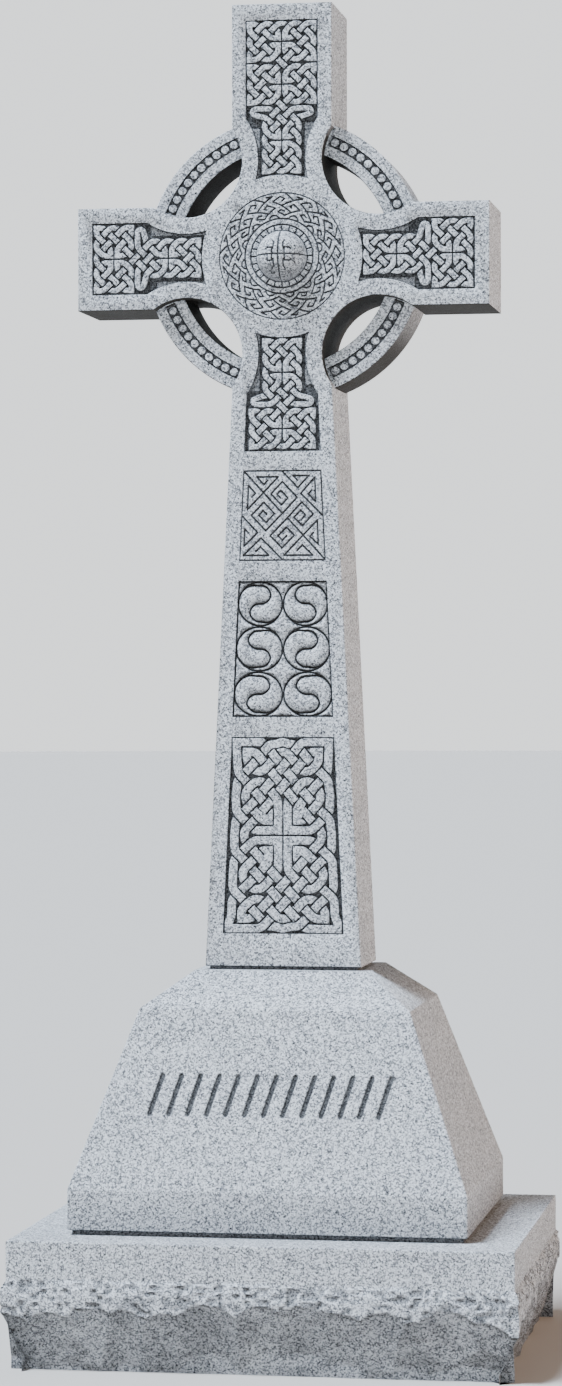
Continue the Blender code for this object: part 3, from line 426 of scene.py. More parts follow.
# Plan curves.
def arc(centre, radius, start, end, steps):
    """Points on a circle from one angle to another, in degrees."""
    return polar(radius, np.radians(np.linspace(start, end, steps + 1))) + centre


def disc(centre, radius, steps):
    """A whole circle as a polygon."""
    return arc(centre, radius, 0.0, 360.0, steps)[:-1]


def left_of(steps):
    """Unit vectors to the left of each step in plan."""
    steps = steps / np.linalg.norm(steps, axis=1)[:, None]
    return np.column_stack((-steps[:, 1], steps[:, 0]))


def mitre(before, after):
    """The move at a corner that takes both its sides out by one, from their unit normals."""
    return (before + after) / (1.0 + (before * after).sum(axis=1))[:, None]


def inward(polygon, distance):
    """The polygon moved in by a distance, with mitred corners; it runs anticlockwise."""
    points = np.asarray(polygon, float)
    sides = left_of(np.roll(points, -1, axis=0) - points)
    return points + mitre(np.roll(sides, 1, axis=0), sides) * distance


def mitred_offset(path):
    """Sideways step at each point of a path that keeps a band's width through its bends."""
    sides = left_of(np.diff(path, axis=0))
    return mitre(np.vstack((sides[:1], sides)), np.vstack((sides, sides[-1:])))


def anticlockwise(polygon):
    """The polygon with its corners in anticlockwise order."""
    x, z = np.asarray(polygon, float).T
    area = (x * np.roll(z, -1) - np.roll(x, -1) * z).sum()
    return np.asarray(polygon if area > 0 else polygon[::-1], float)


def mirrored(points):
    """The points on the left side, in reverse order, so that an outline closes."""
    points = np.asarray(points, float)
    return points[::-1] * (-1, 1)


def turn(points, direction):
    """Points built along +Z turned or mirrored onto an arm."""
    x, z = np.asarray(points, float).T
    return np.column_stack({"top": (x, z), "low": (x, -z), "left": (-z, x), "right": (z, x)}[direction])


# Outlines.
def shaft_half(drop):
    """Half width of the tapered shaft at a distance below the centre of the arms."""
    neck_drop = THROAT_OFFSET + THROAT_RADIUS * 0.6
    share = (drop - neck_drop) / (SHAFT_DROP - neck_drop)
    return (NECK_WIDTH + (FOOT_WIDTH - NECK_WIDTH) * share) / 2


def throat_angle_up(half_width, radius):
    """Angle from the level where a throat circle meets an upright edge."""
    return math.degrees(math.acos((THROAT_OFFSET - half_width) / radius))


def throat_angle_taper(margin, radius):
    """The same on the tapered shaft: the drop and the angle are found together."""
    drop = THROAT_OFFSET + radius * 0.6
    for _ in range(40):
        across = THROAT_OFFSET - (shaft_half(drop) - margin)
        drop = THROAT_OFFSET + math.sqrt(radius * radius - across * across)
    return math.degrees(math.acos(across / radius))


def cross_outline():
    """The stone's front outline without the ring, round the centre of the arms."""
    steps = 28
    low = throat_angle_taper(0.0, THROAT_RADIUS)
    side = math.degrees(math.asin((THROAT_OFFSET - ARM_HEIGHT / 2) / THROAT_RADIUS))
    top = throat_angle_up(TOP_ARM_WIDTH / 2, THROAT_RADIUS)
    foot = -SHAFT_DROP + CROSS_REBATE_HEIGHT
    right = [(shaft_half(-foot), foot)]
    right += list(arc((THROAT_OFFSET, -THROAT_OFFSET), THROAT_RADIUS, 180 + low, side, steps))
    right += [(ARM_SPAN / 2, -ARM_HEIGHT / 2), (ARM_SPAN / 2, ARM_HEIGHT / 2)]
    right += list(arc((THROAT_OFFSET, THROAT_OFFSET), THROAT_RADIUS, -side, -180 - top, steps))
    right += [(TOP_ARM_WIDTH / 2, HEAD_DROP)]
    return np.vstack((right, mirrored(right)))


def head_panel_sides(direction):
    """The right side and the near edge of a sunk panel on one arm, built along +Z."""
    radius = THROAT_RADIUS + THROAT_MARGIN
    reach = THROAT_OFFSET * math.sqrt(2)
    cosine = (PANEL_NEAR ** 2 + reach ** 2 - radius ** 2) / (2 * PANEL_NEAR * reach)
    half = 45 - math.degrees(math.acos(cosine))
    start = np.array((math.sin(math.radians(half)), math.cos(math.radians(half)))) * PANEL_NEAR
    first = math.degrees(math.atan2(start[1] - THROAT_OFFSET, start[0] - THROAT_OFFSET)) % 360
    far = {"top": (TOP_ARM_WIDTH / 2 - TOP_MARGIN, TOP_FAR),
           "low": (shaft_half(LOW_FAR) - ARM_MARGIN, LOW_FAR + FAR_GAP)}.get(
               direction, (ARM_HEIGHT / 2 - SIDE_MARGIN, SIDE_FAR + FAR_GAP))
    last = 180 - (throat_angle_taper(ARM_MARGIN, radius) if direction == "low"
                  else throat_angle_up(far[0], radius))
    right = np.vstack((arc((THROAT_OFFSET, THROAT_OFFSET), radius, first, last, 16), far))
    return right, arc((0, 0), PANEL_NEAR, 90 - half, 90 + half, 12)


def head_panel(direction):
    """Outline of a sunk panel on one arm, turned to its arm."""
    right, near = head_panel_sides(direction)
    return anticlockwise(turn(np.vstack((right, mirrored(right), near[1:-1][::-1])), direction))


def head_grid(direction, spacing):
    """Plan points over a sunk panel: its four sides blended, each point from its shares along them.

    A point is the blend of the near and far edges plus the blend of the two sides, less the corners' blend.
    """
    right, near = head_panel_sides(direction)
    length = np.concatenate(([0.0], np.cumsum(np.hypot(*np.diff(right, axis=0).T))))
    rows = int(length[-1] / spacing)
    columns = int(2 * right[:, 0].max() / spacing)
    up = np.linspace(0, 1, rows)[:, None]
    across = np.linspace(0, 1, columns)[None]
    side_x = np.interp(up * length[-1], length, right[:, 0])
    side_z = np.interp(up * length[-1], length, right[:, 1])
    order = np.linspace(1, 0, len(near))
    near_x = np.interp(across[0], order[::-1], near[::-1, 0])[None]
    near_z = np.interp(across[0], order[::-1], near[::-1, 1])[None]
    x = (1 - up) * near_x + (2 * across - 1) * (side_x - (1 - up) * right[0, 0])
    z = (1 - up) * near_z + side_z - (1 - up) * right[0, 1]
    return turn(np.stack((x, z + 0 * across), axis=-1).reshape(-1, 2), direction).reshape(rows, columns, 2)


def trapezium(top, bottom, margin):
    """A panel outline that follows the taper of the shaft."""
    a = shaft_half(top) - margin
    b = shaft_half(bottom) - margin
    return np.array([(-b, -bottom), (b, -bottom), (a, -top), (-a, -top)])


# Interlace.
# A strand's edge as distances from it with the drop below the face at each.
ARRIS_FALL = [(0.0, 0.0014), (0.0005, 0.0006), (0.0014, 0.0001)]
# A point that a strand's path passes; a crossing keeps its node and the strand's way through it.
Stop = namedtuple("Stop", "spot tangent node way", defaults=(None, None))


class Weave:
    """Interlace on a lattice of cells: strands run corner-wise and turn back at walls.

    Nodes lie at the middles of the cells' edges and have doubled whole coordinates (column, row),
    so one of the two is odd. place() gives a lattice position in metres. walls maps a node to "h"
    or "v", for a strand that is turned back by a level or an upright line.
    """

    def __init__(self, columns, rows, place, walls, width, gap, blocked=(), ears=None):
        self.columns = columns
        self.rows = rows
        self.place = place
        self.walls = walls
        self.width = width
        self.gap = gap
        self.blocked = set(blocked)
        self.ears = ears or {}

    def kind(self, node):
        """x for a crossing, h and v where a level or an upright line turns the strands back."""
        if node in self.walls:
            return self.walls[node]
        if node[0] in (0, 2 * self.columns):
            return "v"
        if node[1] in (0, 2 * self.rows):
            return "h"
        return "x"

    def loops(self):
        """Every strand as a closed list of (node, direction out of it)."""
        seen = set()
        found = []
        for column in range(2 * self.columns + 1):
            for row in range(2 * self.rows + 1):
                node = (column, row)
                if (column + row) % 2 == 0 or node in self.blocked or self.kind(node) != "x":
                    continue
                for way in ((1, 1), (1, -1)):
                    if (node, way) in seen:
                        continue
                    found.append(self.follow(node, way, seen))
        return found

    def follow(self, node, way, seen):
        """One strand from a node until it comes back, turned wherever a line stands in its way."""
        loop = []
        start = (node, way)
        while True:
            loop.append((node, way))
            seen.add((node, way))
            if self.kind(node) == "x":
                seen.add((node, (-way[0], -way[1])))
            node = (node[0] + way[0], node[1] + way[1])
            kind = self.kind(node)
            if kind == "h":
                way = (way[0], -way[1])
            elif kind == "v":
                way = (-way[0], way[1])
            if (node, way) == start:
                return loop

    def over(self, node, way):
        """At an upright edge the strand that rises to the right is on top, at a level one the other."""
        rising = way[0] * way[1] < 0
        return rising if node[0] % 2 == 0 else not rising

    def heading(self, node, way):
        """Unit direction of a strand through a crossing."""
        back = np.array(self.place(node[0] - way[0], node[1] - way[1]))
        ahead = np.array(self.place(node[0] + way[0], node[1] + way[1]))
        run = ahead - back
        return run / np.linalg.norm(run)

    def stops(self, loop):
        """The path's control stops round a loop; the stop of a crossing keeps its node and direction."""
        off = (self.width + self.gap) / 2
        result = []
        for index, (node, way) in enumerate(loop):
            kind = self.kind(node)
            spot = np.array(self.place(*node))
            following, way_after = loop[(index + 1) % len(loop)]
            if frozenset((loop[index - 1][0], node)) in self.ears:
                continue
            if frozenset((node, following)) in self.ears:
                result += self.ear(node, following)
                continue
            if kind == "x":
                result.append(Stop(spot, self.heading(node, way), node, way))
                continue
            if kind == "h":
                here = spot + (0, -way[1] * off)
                tangent = np.array((float(way[0]), 0.0))
            else:
                here = spot + (way[0] * off, 0)
                tangent = np.array((0.0, -float(way[1])))
            result.append(Stop(here, tangent))
            if self.kind(following) not in ("x", kind):
                other = self.place(*following)
                corner = ((other[0] + way_after[0] * off, here[1]) if kind == "h"
                          else (here[0], other[1] - way_after[1] * off))
                result.append(Stop(np.array(corner), None))
        return result

    def ear(self, node, following):
        """The stops of a long loop that stands in for a corner of the narrow plait."""
        first, stops = self.ears[frozenset((node, following))]
        way = 1 if first == node else -1
        return [Stop(np.array(spot), way * np.array(tangent)) for spot, tangent in stops[::way]]

    def runs(self):
        """Each visible run of strand, from one underpass to the next, as a list of stops."""
        for loop in self.loops():
            stops = self.stops(loop)
            under = [i for i, stop in enumerate(stops) if stop.node and not self.over(stop.node, stop.way)]
            for first, last in zip(under, under[1:] + under[:1]):
                count = (last - first) % len(stops) or len(stops)
                yield [stops[(first + k) % len(stops)] for k in range(count + 1)]

    def cushion(self, run, steps, depth):
        """A run of strand as a closed solid: a flat band whose edges fall away over a soft arris.

        The band is a path times a share across it. Each lengthwise fibre is cut where it meets the strand
        that passes over, and rows close to the cuts carry the arris round the ends. The drop at a point is
        a table of distance from the nearest edge.
        """
        path = [run[0].spot]
        for one, two in zip(run[:-1], run[1:]):
            path += curve(one, two, steps)
        path = np.array(path)
        half = self.width / 2
        near, fall = np.array(ARRIS_FALL).T
        near = near / half
        across = np.concatenate((-1 + near, [-0.35, 0.35], 1 - near[::-1]))
        fall_across = np.concatenate((fall, [0.0, 0.0], fall[::-1]))
        fibres = []
        for share in across:
            fibre = unfolded(path + mitred_offset(path) * half * share, path)
            fibre = self.cut_start(fibre, run[0])
            fibres.append(self.cut_start(fibre[::-1], run[-1])[::-1])
        plan = np.stack(fibres, axis=1)
        fall_along = np.concatenate((fall, np.zeros(len(plan) - 2 * len(fall)), fall[::-1]))
        top = np.maximum(fall_along[:, None], fall_across[None])
        return closed_grid(plan, top, smooth_step(0.35 * depth, depth, top), depth)

    def cut_start(self, fibre, stop):
        """The fibre with rows at the arris distances from the side of the strand that passes over it."""
        over = self.heading(stop.node, (stop.way[0], -stop.way[1]))
        off = fibre - stop.spot
        away = np.abs(off[:, 0] * over[1] - off[:, 1] * over[0])
        rows = []
        for distance, _ in ARRIS_FALL:
            clear = self.width / 2 + self.gap + distance
            first = int(np.argmax(away >= clear))
            share = (clear - away[first - 1]) / (away[first] - away[first - 1])
            rows.append(fibre[first - 1] + (fibre[first] - fibre[first - 1]) * share)
        fibre = fibre.copy()
        fibre[:first] = rows[-1]
        return np.vstack((rows[:-1], fibre))


def unfolded(fibre, path):
    """The fibre with the stretches that run against its path drawn together, where a bend is too tight."""
    forward = (np.diff(fibre, axis=0) * np.diff(path, axis=0)).sum(axis=1) > 0
    keep = np.ones(len(fibre), bool)
    keep[1:-1] = forward[1:] & forward[:-1]
    last_kept = np.maximum.accumulate(np.where(keep, np.arange(len(fibre)), 0))
    return fibre[last_kept]


def curve(one, two, steps):
    """Points after the first of a cubic from one stop to the next; a straight run needs only its end.

    The two middle controls lie along the stops' tangents, at 0.38 of the distance between the stops.
    """
    p0, p3 = one.spot, two.spot
    length = np.linalg.norm(p3 - p0)
    unit = (p3 - p0) / length
    t0 = unit if one.tangent is None else one.tangent
    t3 = unit if two.tangent is None else two.tangent
    if t0 @ unit > 0.9995 and t3 @ unit > 0.9995:
        return [p3]
    p1 = p0 + t0 * length * 0.38
    p2 = p3 - t3 * length * 0.38
    share = (np.arange(1, steps + 1) / steps)[:, None]
    rest = 1 - share
    return list(rest ** 3 * p0 + 3 * rest ** 2 * share * p1 + 3 * rest * share ** 2 * p2 + share ** 3 * p3)


def cross_break(column, row):
    """A cross-shaped break: both lines of a plus cut the crossings round one cell's middle."""
    x, y = 2 * column + 1, 2 * row + 1
    return {(x - 1, y): "h", (x + 1, y): "h", (x, y - 1): "v", (x, y + 1): "v"}


def ear_stops(side, direction):
    """The long loop beside the narrow plait, built along +Z and turned to its arm."""
    end = {"top": TOP_SEAM, "low": LOW_SEAM}.get(direction, SIDE_SEAM)
    line = end - EAR_LINE
    low = end - EAR_DROP
    spots = [(EAR_IN, line), (EAR_OUT - EAR_BEND, line), (EAR_OUT, line - EAR_BEND),
             (EAR_OUT - EAR_BEND * 1.55, low + EAR_BEND * 0.3)]
    ways = [(1, 0), (1, 0), (0, -1), (-0.93, -0.37)]
    return list(zip(*[turn(pairs * np.array((side, 1)), direction) for pairs in (spots, ways)]))


def head_weave(direction, sizes):
    """The interlace of an arm: five narrow cells next to the medallion and wider ones beyond a seam.

    Cells count from the top or the left, along the arm and across it. A node's place is its distance beyond
    the seam times the length of a cell there, and its distance from the arm's middle times a cell's width.
    """
    upright = direction in ("top", "low")
    order = 1 if upright else -1
    first, seam, cells, far_breaks = {"top": (6, 6, 11, (1, 4)), "low": (0, 5, 8, (6,)),
                                      "left": (3, 3, 8, (1,)), "right": (0, 5, 8, (6,))}[direction]
    end, long, wide = {"top": (TOP_SEAM, TOP_ROW, WIDE_CELL), "low": (LOW_SEAM, LOW_ROW, NARROW_CELL)}.get(
        direction, (SIDE_SEAM, SIDE_ROW, SIDE_CELL))
    outward = 1 if first == 0 else -1

    def place(*node):
        """The plan point of a node."""
        across, along = node[::order]
        beyond = (along / 2 - seam) * outward
        away = outward * (end + beyond * (long if beyond >= 0 else (end - PANEL_NEAR) / 5))
        off = (across / 2 - 2.5) * (wide if beyond >= 0 else NARROW_CELL)
        return (off, -away) if upright else (away, -off)

    walls, blocked = {}, set()
    for cell in range(first, first + 5):
        for side in (2, 8):
            walls[(side, 2 * cell + 1)[::order]] = "v" if upright else "h"
        blocked.update((side, 2 * cell + step)[::order] for side in (0, 1, 9, 10) for step in range(3))
    for line in (seam, 3) if direction == "top" else (seam,):
        for side in (1, 3, 7, 9):
            walls[(side, 2 * line)[::order]] = "h" if upright else "v"
            blocked.discard((side, 2 * line)[::order])
    for cell in (first + 2, *far_breaks):
        walls.update(cross_break(*(2, cell)[::order]))
    ears = {}
    for near, edge, side in ((3, 2, -order), (7, 8, order)):
        start = (near, 2 * seam)[::order]
        ears[frozenset((start, (edge, 2 * seam - outward)[::order]))] = (start, ear_stops(side, direction))
    return Weave(*(5, cells)[::order], place, walls, sizes.strand, sizes.strand_gap, blocked, ears)


def knot_weave(sizes):
    """The large interlace at the foot of the shaft, six cells by ten, mirrored about its middle."""
    level = [(2, 1), (6, 1), (10, 1), (3, 4), (9, 4), (4, 9), (8, 9), (3, 10), (5, 10)]
    upright = [(1, 2), (11, 2), (1, 6), (11, 6), (6, 7), (5, 8), (7, 8), (6, 9), (1, 10), (11, 10)]
    walls = {(7, 10): "h", (9, 10): "h"}
    for kind, nodes in (("h", level), ("v", upright)):
        for column, row in nodes:
            walls[(column, row)] = walls[(column, 20 - row)] = kind

    def place(column, row):
        """The lattice is closer in the middle, and its outer strands swing clear of the frame."""
        drop = KNOT_TOP + (KNOT_BOTTOM - KNOT_TOP) * row / 20
        half = shaft_half(drop) - KNOT_MARGIN
        share = (column - 6) / 6
        if abs(share) == 1:
            share *= 0.985 if row in (1, 19) else 0.950
        else:
            share *= 0.885 + 0.115 * share ** 4
        if row in (0, 20) and column in (5, 7):
            drop += 0.004 if row == 0 else -0.004
        if column in (5, 7) and row in (8, 12):
            return math.copysign(sizes.knot_strand + sizes.knot_gap * 0.75, share), -drop
        return half * share, -drop

    return Weave(6, 10, place, walls, sizes.knot_strand, sizes.knot_gap)


# Key pattern and spirals.
COMPASS = {"N": (0, -1), "S": (0, 1), "E": (1, 0), "W": (-1, 0), "NE": (1, -1), "SE": (1, 1), "SW": (-1, 1),
           "NW": (-1, -1)}
UPPER_NODE = (0, -0.5)
LOWER_NODE = (1.3, 0.6)
KEY_RUNS = [(UPPER_NODE, "NE3.9 NW3.9 SW3 SE2.75 NE1.7 NW1.9 SW0.95 SE0.95"),
            (UPPER_NODE, "SW4.25 NW3.8 NE3.2 SE2.8 SW2.2 NW1.85 NE1.1 SE0.9"),
            (LOWER_NODE, "NE3.8 SE2.9 SW2.9 NW2.1 NE1.75 SE1.2 SW0.9"),
            (LOWER_NODE, "SW4.4 SE3 NE3.1 NW2 SW2.1 SE1.1 NE1.1"),
            ((-4, -8.6), "SW1 NW1.9 E5.8 SW8 N5.9 SE1.9 SW0.9"),
            ((0, -10.9), "SE4.15 NE3 W4.2 SE1.2"),
            ((10.4, 0.1), "NW5.5 NE3.9 S6 NW1.9 NE1"),
            ((-10.4, 0.1), "SE4.1 SW3.3 N4.2 SE1"),
            ((0, 10.9), "NW5.4 SW4.3 E6.3 NW2.1 SW1.1"),
            ((7.9, 4.3), "SW0.9 SE2 N6 SW8.6 E7.1 NW2.5 SW1.4")]


def key_lines():
    """The diagonal key pattern, walked by compass from its nodes, with two lines to the frame's corners."""
    middle = (FRET_TOP + FRET_BOTTOM) / 2

    def spot(point):
        """A node's place, drawn in with the taper of the shaft."""
        drop = middle + point[1] * FRET_STEP * 1.04
        taper = (shaft_half(drop) - FRET_MARGIN) / (shaft_half(middle) - FRET_MARGIN)
        return point[0] * FRET_STEP * taper, -drop

    lines = []
    for start, moves in KEY_RUNS:
        point = np.array(start, float)
        path = [spot(point)]
        for move in moves.split():
            name = move.rstrip("0123456789.")
            point = point + np.array(COMPASS[name]) * float(move[len(name):])
            path.append(spot(point))
        lines.append(np.array(path))
    corners = trapezium(*FRET)
    lines.append(np.array([corners[3], spot(UPPER_NODE)]))
    lines.append(np.array([corners[1], spot(LOWER_NODE)]))
    return lines


def spiral_cells():
    """Centre, half width and half height of each spiral, with the way that it turns."""
    pitch = (SPIRAL_BOTTOM - SPIRAL_TOP) / SPIRAL_ROWS
    cells = []
    for row in range(SPIRAL_ROWS):
        drop = SPIRAL_TOP + pitch * (row + 0.5)
        half = (shaft_half(drop) - SPIRAL_MARGIN) / 2
        for side in (-1, 1):
            turning = side if row % 2 == 0 else -side
            cells.append(((side * half, -drop), half, pitch / 2, turning))
    return cells


def spiral_path(centre, half_width, half_height, turning, steps):
    """The S-shaped line between the two lobes: round each lobe, then out until it meets the circle."""
    angle = np.linspace(-87, 178, steps)
    radius = 0.50 - 0.10 * np.clip(-angle / 87, 0, 1) - 0.08 * np.clip(angle / 90, 0, 1)
    radius += 0.58 * np.clip((angle - 95) / 100, 0, 1) ** 1.26
    angle = np.radians(angle)
    half = np.column_stack((-0.02 + radius * np.cos(angle), 0.40 + radius * np.sin(angle)))
    path = np.vstack((-half[:0:-1], half))
    path[:, 0] *= -turning
    return path * (half_width, half_height) + centre


# Granite.
def connect(tree, node, inputs):
    """Each input of a node takes a value, or a link from another node's socket."""
    for key, value in inputs.items():
        if isinstance(value, bpy.types.NodeSocket):
            tree.links.new(value, node.inputs[key])
        else:
            node.inputs[key].default_value = value


def add_node(tree, kind, inputs, **settings):
    """The outputs of a new node with these settings and inputs."""
    node = tree.nodes.new("ShaderNode" + kind)
    for key, value in settings.items():
        setattr(node, key, value)
    connect(tree, node, inputs)
    return node.outputs


def ramp(tree, source, stops, mode="LINEAR"):
    """Colours at places from 0 to 1, led by a socket."""
    node = tree.nodes.new("ShaderNodeValToRGB")
    node.color_ramp.interpolation = mode
    elements = node.color_ramp.elements
    while len(elements) < len(stops):
        elements.new(0.5)
    for element, (place, colour) in zip(elements, stops):
        element.position = place
        element.color = (*colour, 1.0)
    connect(tree, node, {"Fac": source})
    return node.outputs["Color"]


def granite(name, colours, tone=1.0, rough=0.72, relief=0.35):
    """Speckled granite: pale, grey and dark grains in cells, slow changes of tone, dark stain with painted
    shade in the carving, and painted shade on faces that look down.

    Two cell patterns of 3 and 1.5 mm pick each grain's mineral by chance. A slow noise changes the tone.
    A per-point attribute leads the colour to the dark stain of the carving, which also paints the shade in its
    hollows, and a per-corner attribute leads it to painted shade on faces that look down and on the walls of
    the openings, both broken up by fine noise. Fine noise and the grains give the dressed surface.
    """
    material = bpy.data.materials.new(name)
    material.use_nodes = True
    tree = material.node_tree

    def mix(kind, factor, one, two):
        """Two colours mixed in this way."""
        return add_node(tree, "Mix", {0: factor, 6: one, 7: two}, data_type="RGBA", blend_type=kind)[2]

    def number(operation, *values, clamp=False):
        """A sum or product of values and sockets."""
        return add_node(tree, "Math", dict(enumerate(values)), operation=operation, use_clamp=clamp)[0]

    place = add_node(tree, "TexCoord", {})["Object"]
    large = add_node(tree, "TexVoronoi", {"Vector": place, "Scale": GRAINS})
    small = add_node(tree, "TexVoronoi", {"Vector": place, "Scale": SPECKS})
    slow = add_node(tree, "TexNoise", {"Vector": place, "Scale": SLOW_TONES, "Detail": 4.0})["Fac"]
    fine = add_node(tree, "TexNoise", {"Vector": place, "Scale": FINE_TOOLING, "Detail": 3.0})["Fac"]
    pick_large = add_node(tree, "SeparateColor", {"Color": large["Color"]})["Red"]
    pick_small = add_node(tree, "SeparateColor", {"Color": small["Color"]})["Green"]
    pale, grey, dark = [tuple(c * tone for c in mineral)
                        for mineral in (colours.pale, colours.grey, colours.dark)]
    middle = tuple((p + g) / 2 for p, g in zip(pale, grey))
    bright = tuple(min(1.0, p * 1.14) for p in pale)
    minerals = ramp(tree, pick_large,
                    [(0.0, dark), (0.20, grey), (0.42, middle), (0.54, pale), (0.76, bright)], "CONSTANT")
    specks = ramp(tree, pick_small,
                  [(0.0, dark), (0.20, grey), (0.40, middle), (0.54, pale), (0.78, bright)], "CONSTANT")
    tones = ramp(tree, slow, [(0.3, (0.96, 0.96, 0.965)), (0.7, (1.03, 1.03, 1.025))])
    colour = mix("MULTIPLY", 1.0, mix("MIX", 0.35, minerals, specks), tones)
    breakup = number("MULTIPLY_ADD", fine, 0.5, 0.62)
    # Mix towards the dark stain, which also paints the shade in the carving, and towards the painted shade on
    # faces that look down.
    for attribute, darkening_colour in (("dirt_and_shade", colours.groove_stain_and_shade), ("painted_shade_share", colours.painted_shade)):
        amount = add_node(tree, "Attribute", {}, attribute_name=attribute)["Fac"]
        colour = mix("MIX", number("MULTIPLY", amount, breakup, clamp=True), colour, (*darkening_colour, 1.0))
    roughness = add_node(tree, "MapRange",
                         {"Value": pick_large, "To Min": rough - 0.14, "To Max": rough + 0.06})
    height = number("ADD", fine, large["Distance"])
    bump = add_node(tree, "Bump", {"Strength": relief, "Distance": 0.0011, "Height": height})
    connect(tree, tree.nodes["Principled BSDF"],
            {"Specular IOR Level": 0.05, "Base Color": colour, "Roughness": roughness["Result"],
             "Normal": bump["Normal"]})
    return material


def finish_named(name, colours):
    """One shared material for each finish."""
    return bpy.data.materials.get(name) or granite(name, colours, **FINISHES[name])


# Pieces of the cross.
def cross_body(sizes, colours):
    """The dressed stone: its outline carried from front to back through softened arrises.

    Each loop is the outline moved inwards by a distance at a depth. The sunk panels, and the beds of the
    carved tiles and of the medallion, are cut out of it by prisms whose mouths flare to a small arris.
    """
    loops = [(-side * sizes.arris, face * sizes.arris) for side, face in SOFT_ARRIS]
    loops += [(out, 2 * FACE - depth) for out, depth in loops[::-1]]
    body = add_piece("cross_body", [(*prism(anticlockwise(cross_outline()), loops), 0.0)], "dressed granite",
                     colours, angle=40)
    panel_bed = sizes.panel_depth + PANEL_BED
    beds = [(head_panel(direction), panel_bed) for direction in ("top", "low", "left", "right")]
    beds += [(trapezium(*KNOT), panel_bed), (trapezium(*FRET), TILE_BED), (trapezium(*SPIRALS), SPIRAL_BED),
             (disc((0, 0), MEDALLION_RADIUS, 128), TILE_BED)]
    shells = [prism(anticlockwise(bed), BED_MOUTH + [(0.0, depth)]) for bed, depth in beds]
    cutter = add_piece("bed_cutter", [(*shell, 0.0) for shell in shells], "dressed granite", colours)
    cut = body.modifiers.new("beds", "BOOLEAN")
    cut.object = cutter
    cut.solver = "EXACT"
    apply_modifiers(body)
    bpy.data.objects.remove(cutter, do_unlink=True)
    if len(body.data.polygons) < 100:
        raise RuntimeError("the beds were not cut into the cross")
    # The walls and floors of the beds get the dark stain, which paints their shade too.
    depth = read(body.data.vertices, "co", 3)[:, 1] + FACE
    write(body.data, "dirt_and_shade", "POINT", (depth > sizes.panel_depth) & (depth < 0.009))
    body.data.set_sharp_from_angle(angle=math.radians(40))
    # Painted shade on faces that look down and on the walls of the openings.
    paint_shade_on_throats(body, RING_OUTER)
    foot_rebate(colours)


def foot_rebate(colours):
    """The foot's rebate: a low block drawn in under the shaft."""
    half = shaft_half(SHAFT_DROP - CROSS_REBATE_HEIGHT) - CROSS_REBATE_DEPTH
    deep = FACE - CROSS_REBATE_DEPTH
    foot = (-SHAFT_DROP + CROSS_REBATE_HEIGHT) + CENTRE
    corners = np.array(((-half, -deep), (half, -deep), (half, deep), (-half, deep)))
    points = [np.column_stack((corners, np.full(4, height))) for height in (CROSS_LOW.z, foot + 0.002)]
    # The rebate takes the dark stain: a dark joint with painted shade in the gap under the shaft.
    add_piece("cross_bed", [(points, capped_faces(2, 4), 0.9)], "dressed granite", colours)


def apply_modifiers(piece):
    """Leaves the piece with the mesh that its modifiers make."""
    bpy.context.view_layer.update()
    graph = bpy.context.evaluated_depsgraph_get()
    mesh = bpy.data.meshes.new_from_object(piece.evaluated_get(graph))
    piece.modifiers.clear()
    old = piece.data
    piece.data = mesh
    mesh.name = old.name
    bpy.data.meshes.remove(old)


def ring(sizes, colours):
    """The ring: a rectangle with softened corners and a front channel, carried round a circle, with pellets.

    The radius and depth of the section are functions of the place along it. The channel's depth is also a
    function of the angle: it dies out next to each arm.
    """
    width = sizes.arris
    middle = (RING_OUTER + RING_INNER) / 2
    half, wall = CHANNEL_HALF, CHANNEL_WALL
    channel = [(-half - wall, 0), (-half, 0.25), (-half + wall, 1), (0, 1), (half - wall, 1), (half, 0.25),
               (half + wall, 0)]
    section = [(RING_INNER + side * width, -RING_FACE + face * width, 0) for side, face in SOFT_ARRIS[::-1]]
    section += [(middle + across, -RING_FACE, sunk) for across, sunk in channel]
    section += [(RING_OUTER - side * width, -RING_FACE + face * width, 0) for side, face in SOFT_ARRIS]
    section += [(RING_OUTER - side * width, RING_FACE - face * width, 0) for side, face in BACK_ARRIS]
    section += [(RING_INNER + side * width, RING_FACE - face * width, 0) for side, face in BACK_ARRIS[::-1]]
    radius, depth, sunk = np.array(section).T[..., None]
    angles = whole_turn(480)
    # The channel's share, which sinks it and also darkens it with stain and painted shade; it fades out next
    # to each arm.
    grime_and_shade = sunk * (1 - smooth_step(23.1, 23.5, np.abs(np.degrees(angles) % 90 - 45)))
    points = placed(polar(radius, angles), FACE + depth + CHANNEL_DEPTH * grime_and_shade)
    shells = [(closed(points), grid_faces(len(points) + 1, len(angles), wrap=True), closed(grime_and_shade))]
    shells += [pellet(middle, quarter, number, sizes)
               for quarter in range(4) for number in range(sizes.pellets)]
    # Painted shade on faces that look down and on the inner wall of the ring.
    paint_shade_on_throats(add_piece("ring", shells, "carved granite", colours), RING_INNER + 0.031)


def pellet(radius, quarter, number, sizes):
    """A low disc in the ring's channel: a rounded profile turned about its own axis."""
    angle = math.radians(45 + 90 * quarter + (number - (sizes.pellets - 1) / 2) * PELLET_PITCH)
    steps = 28
    plan = polar(radius, angle) + polar(PELLET[:, :1], whole_turn(steps))
    depth = np.repeat(PELLET[:, 1:], steps, axis=1)
    # Stain and painted shade darken the pellet towards the bottom of the channel.
    grime_and_shade = smooth_step(0.0012, 0.0045, depth)
    return placed(plan, FACE - RING_FACE + depth), capped_faces(*depth.shape), grime_and_shade


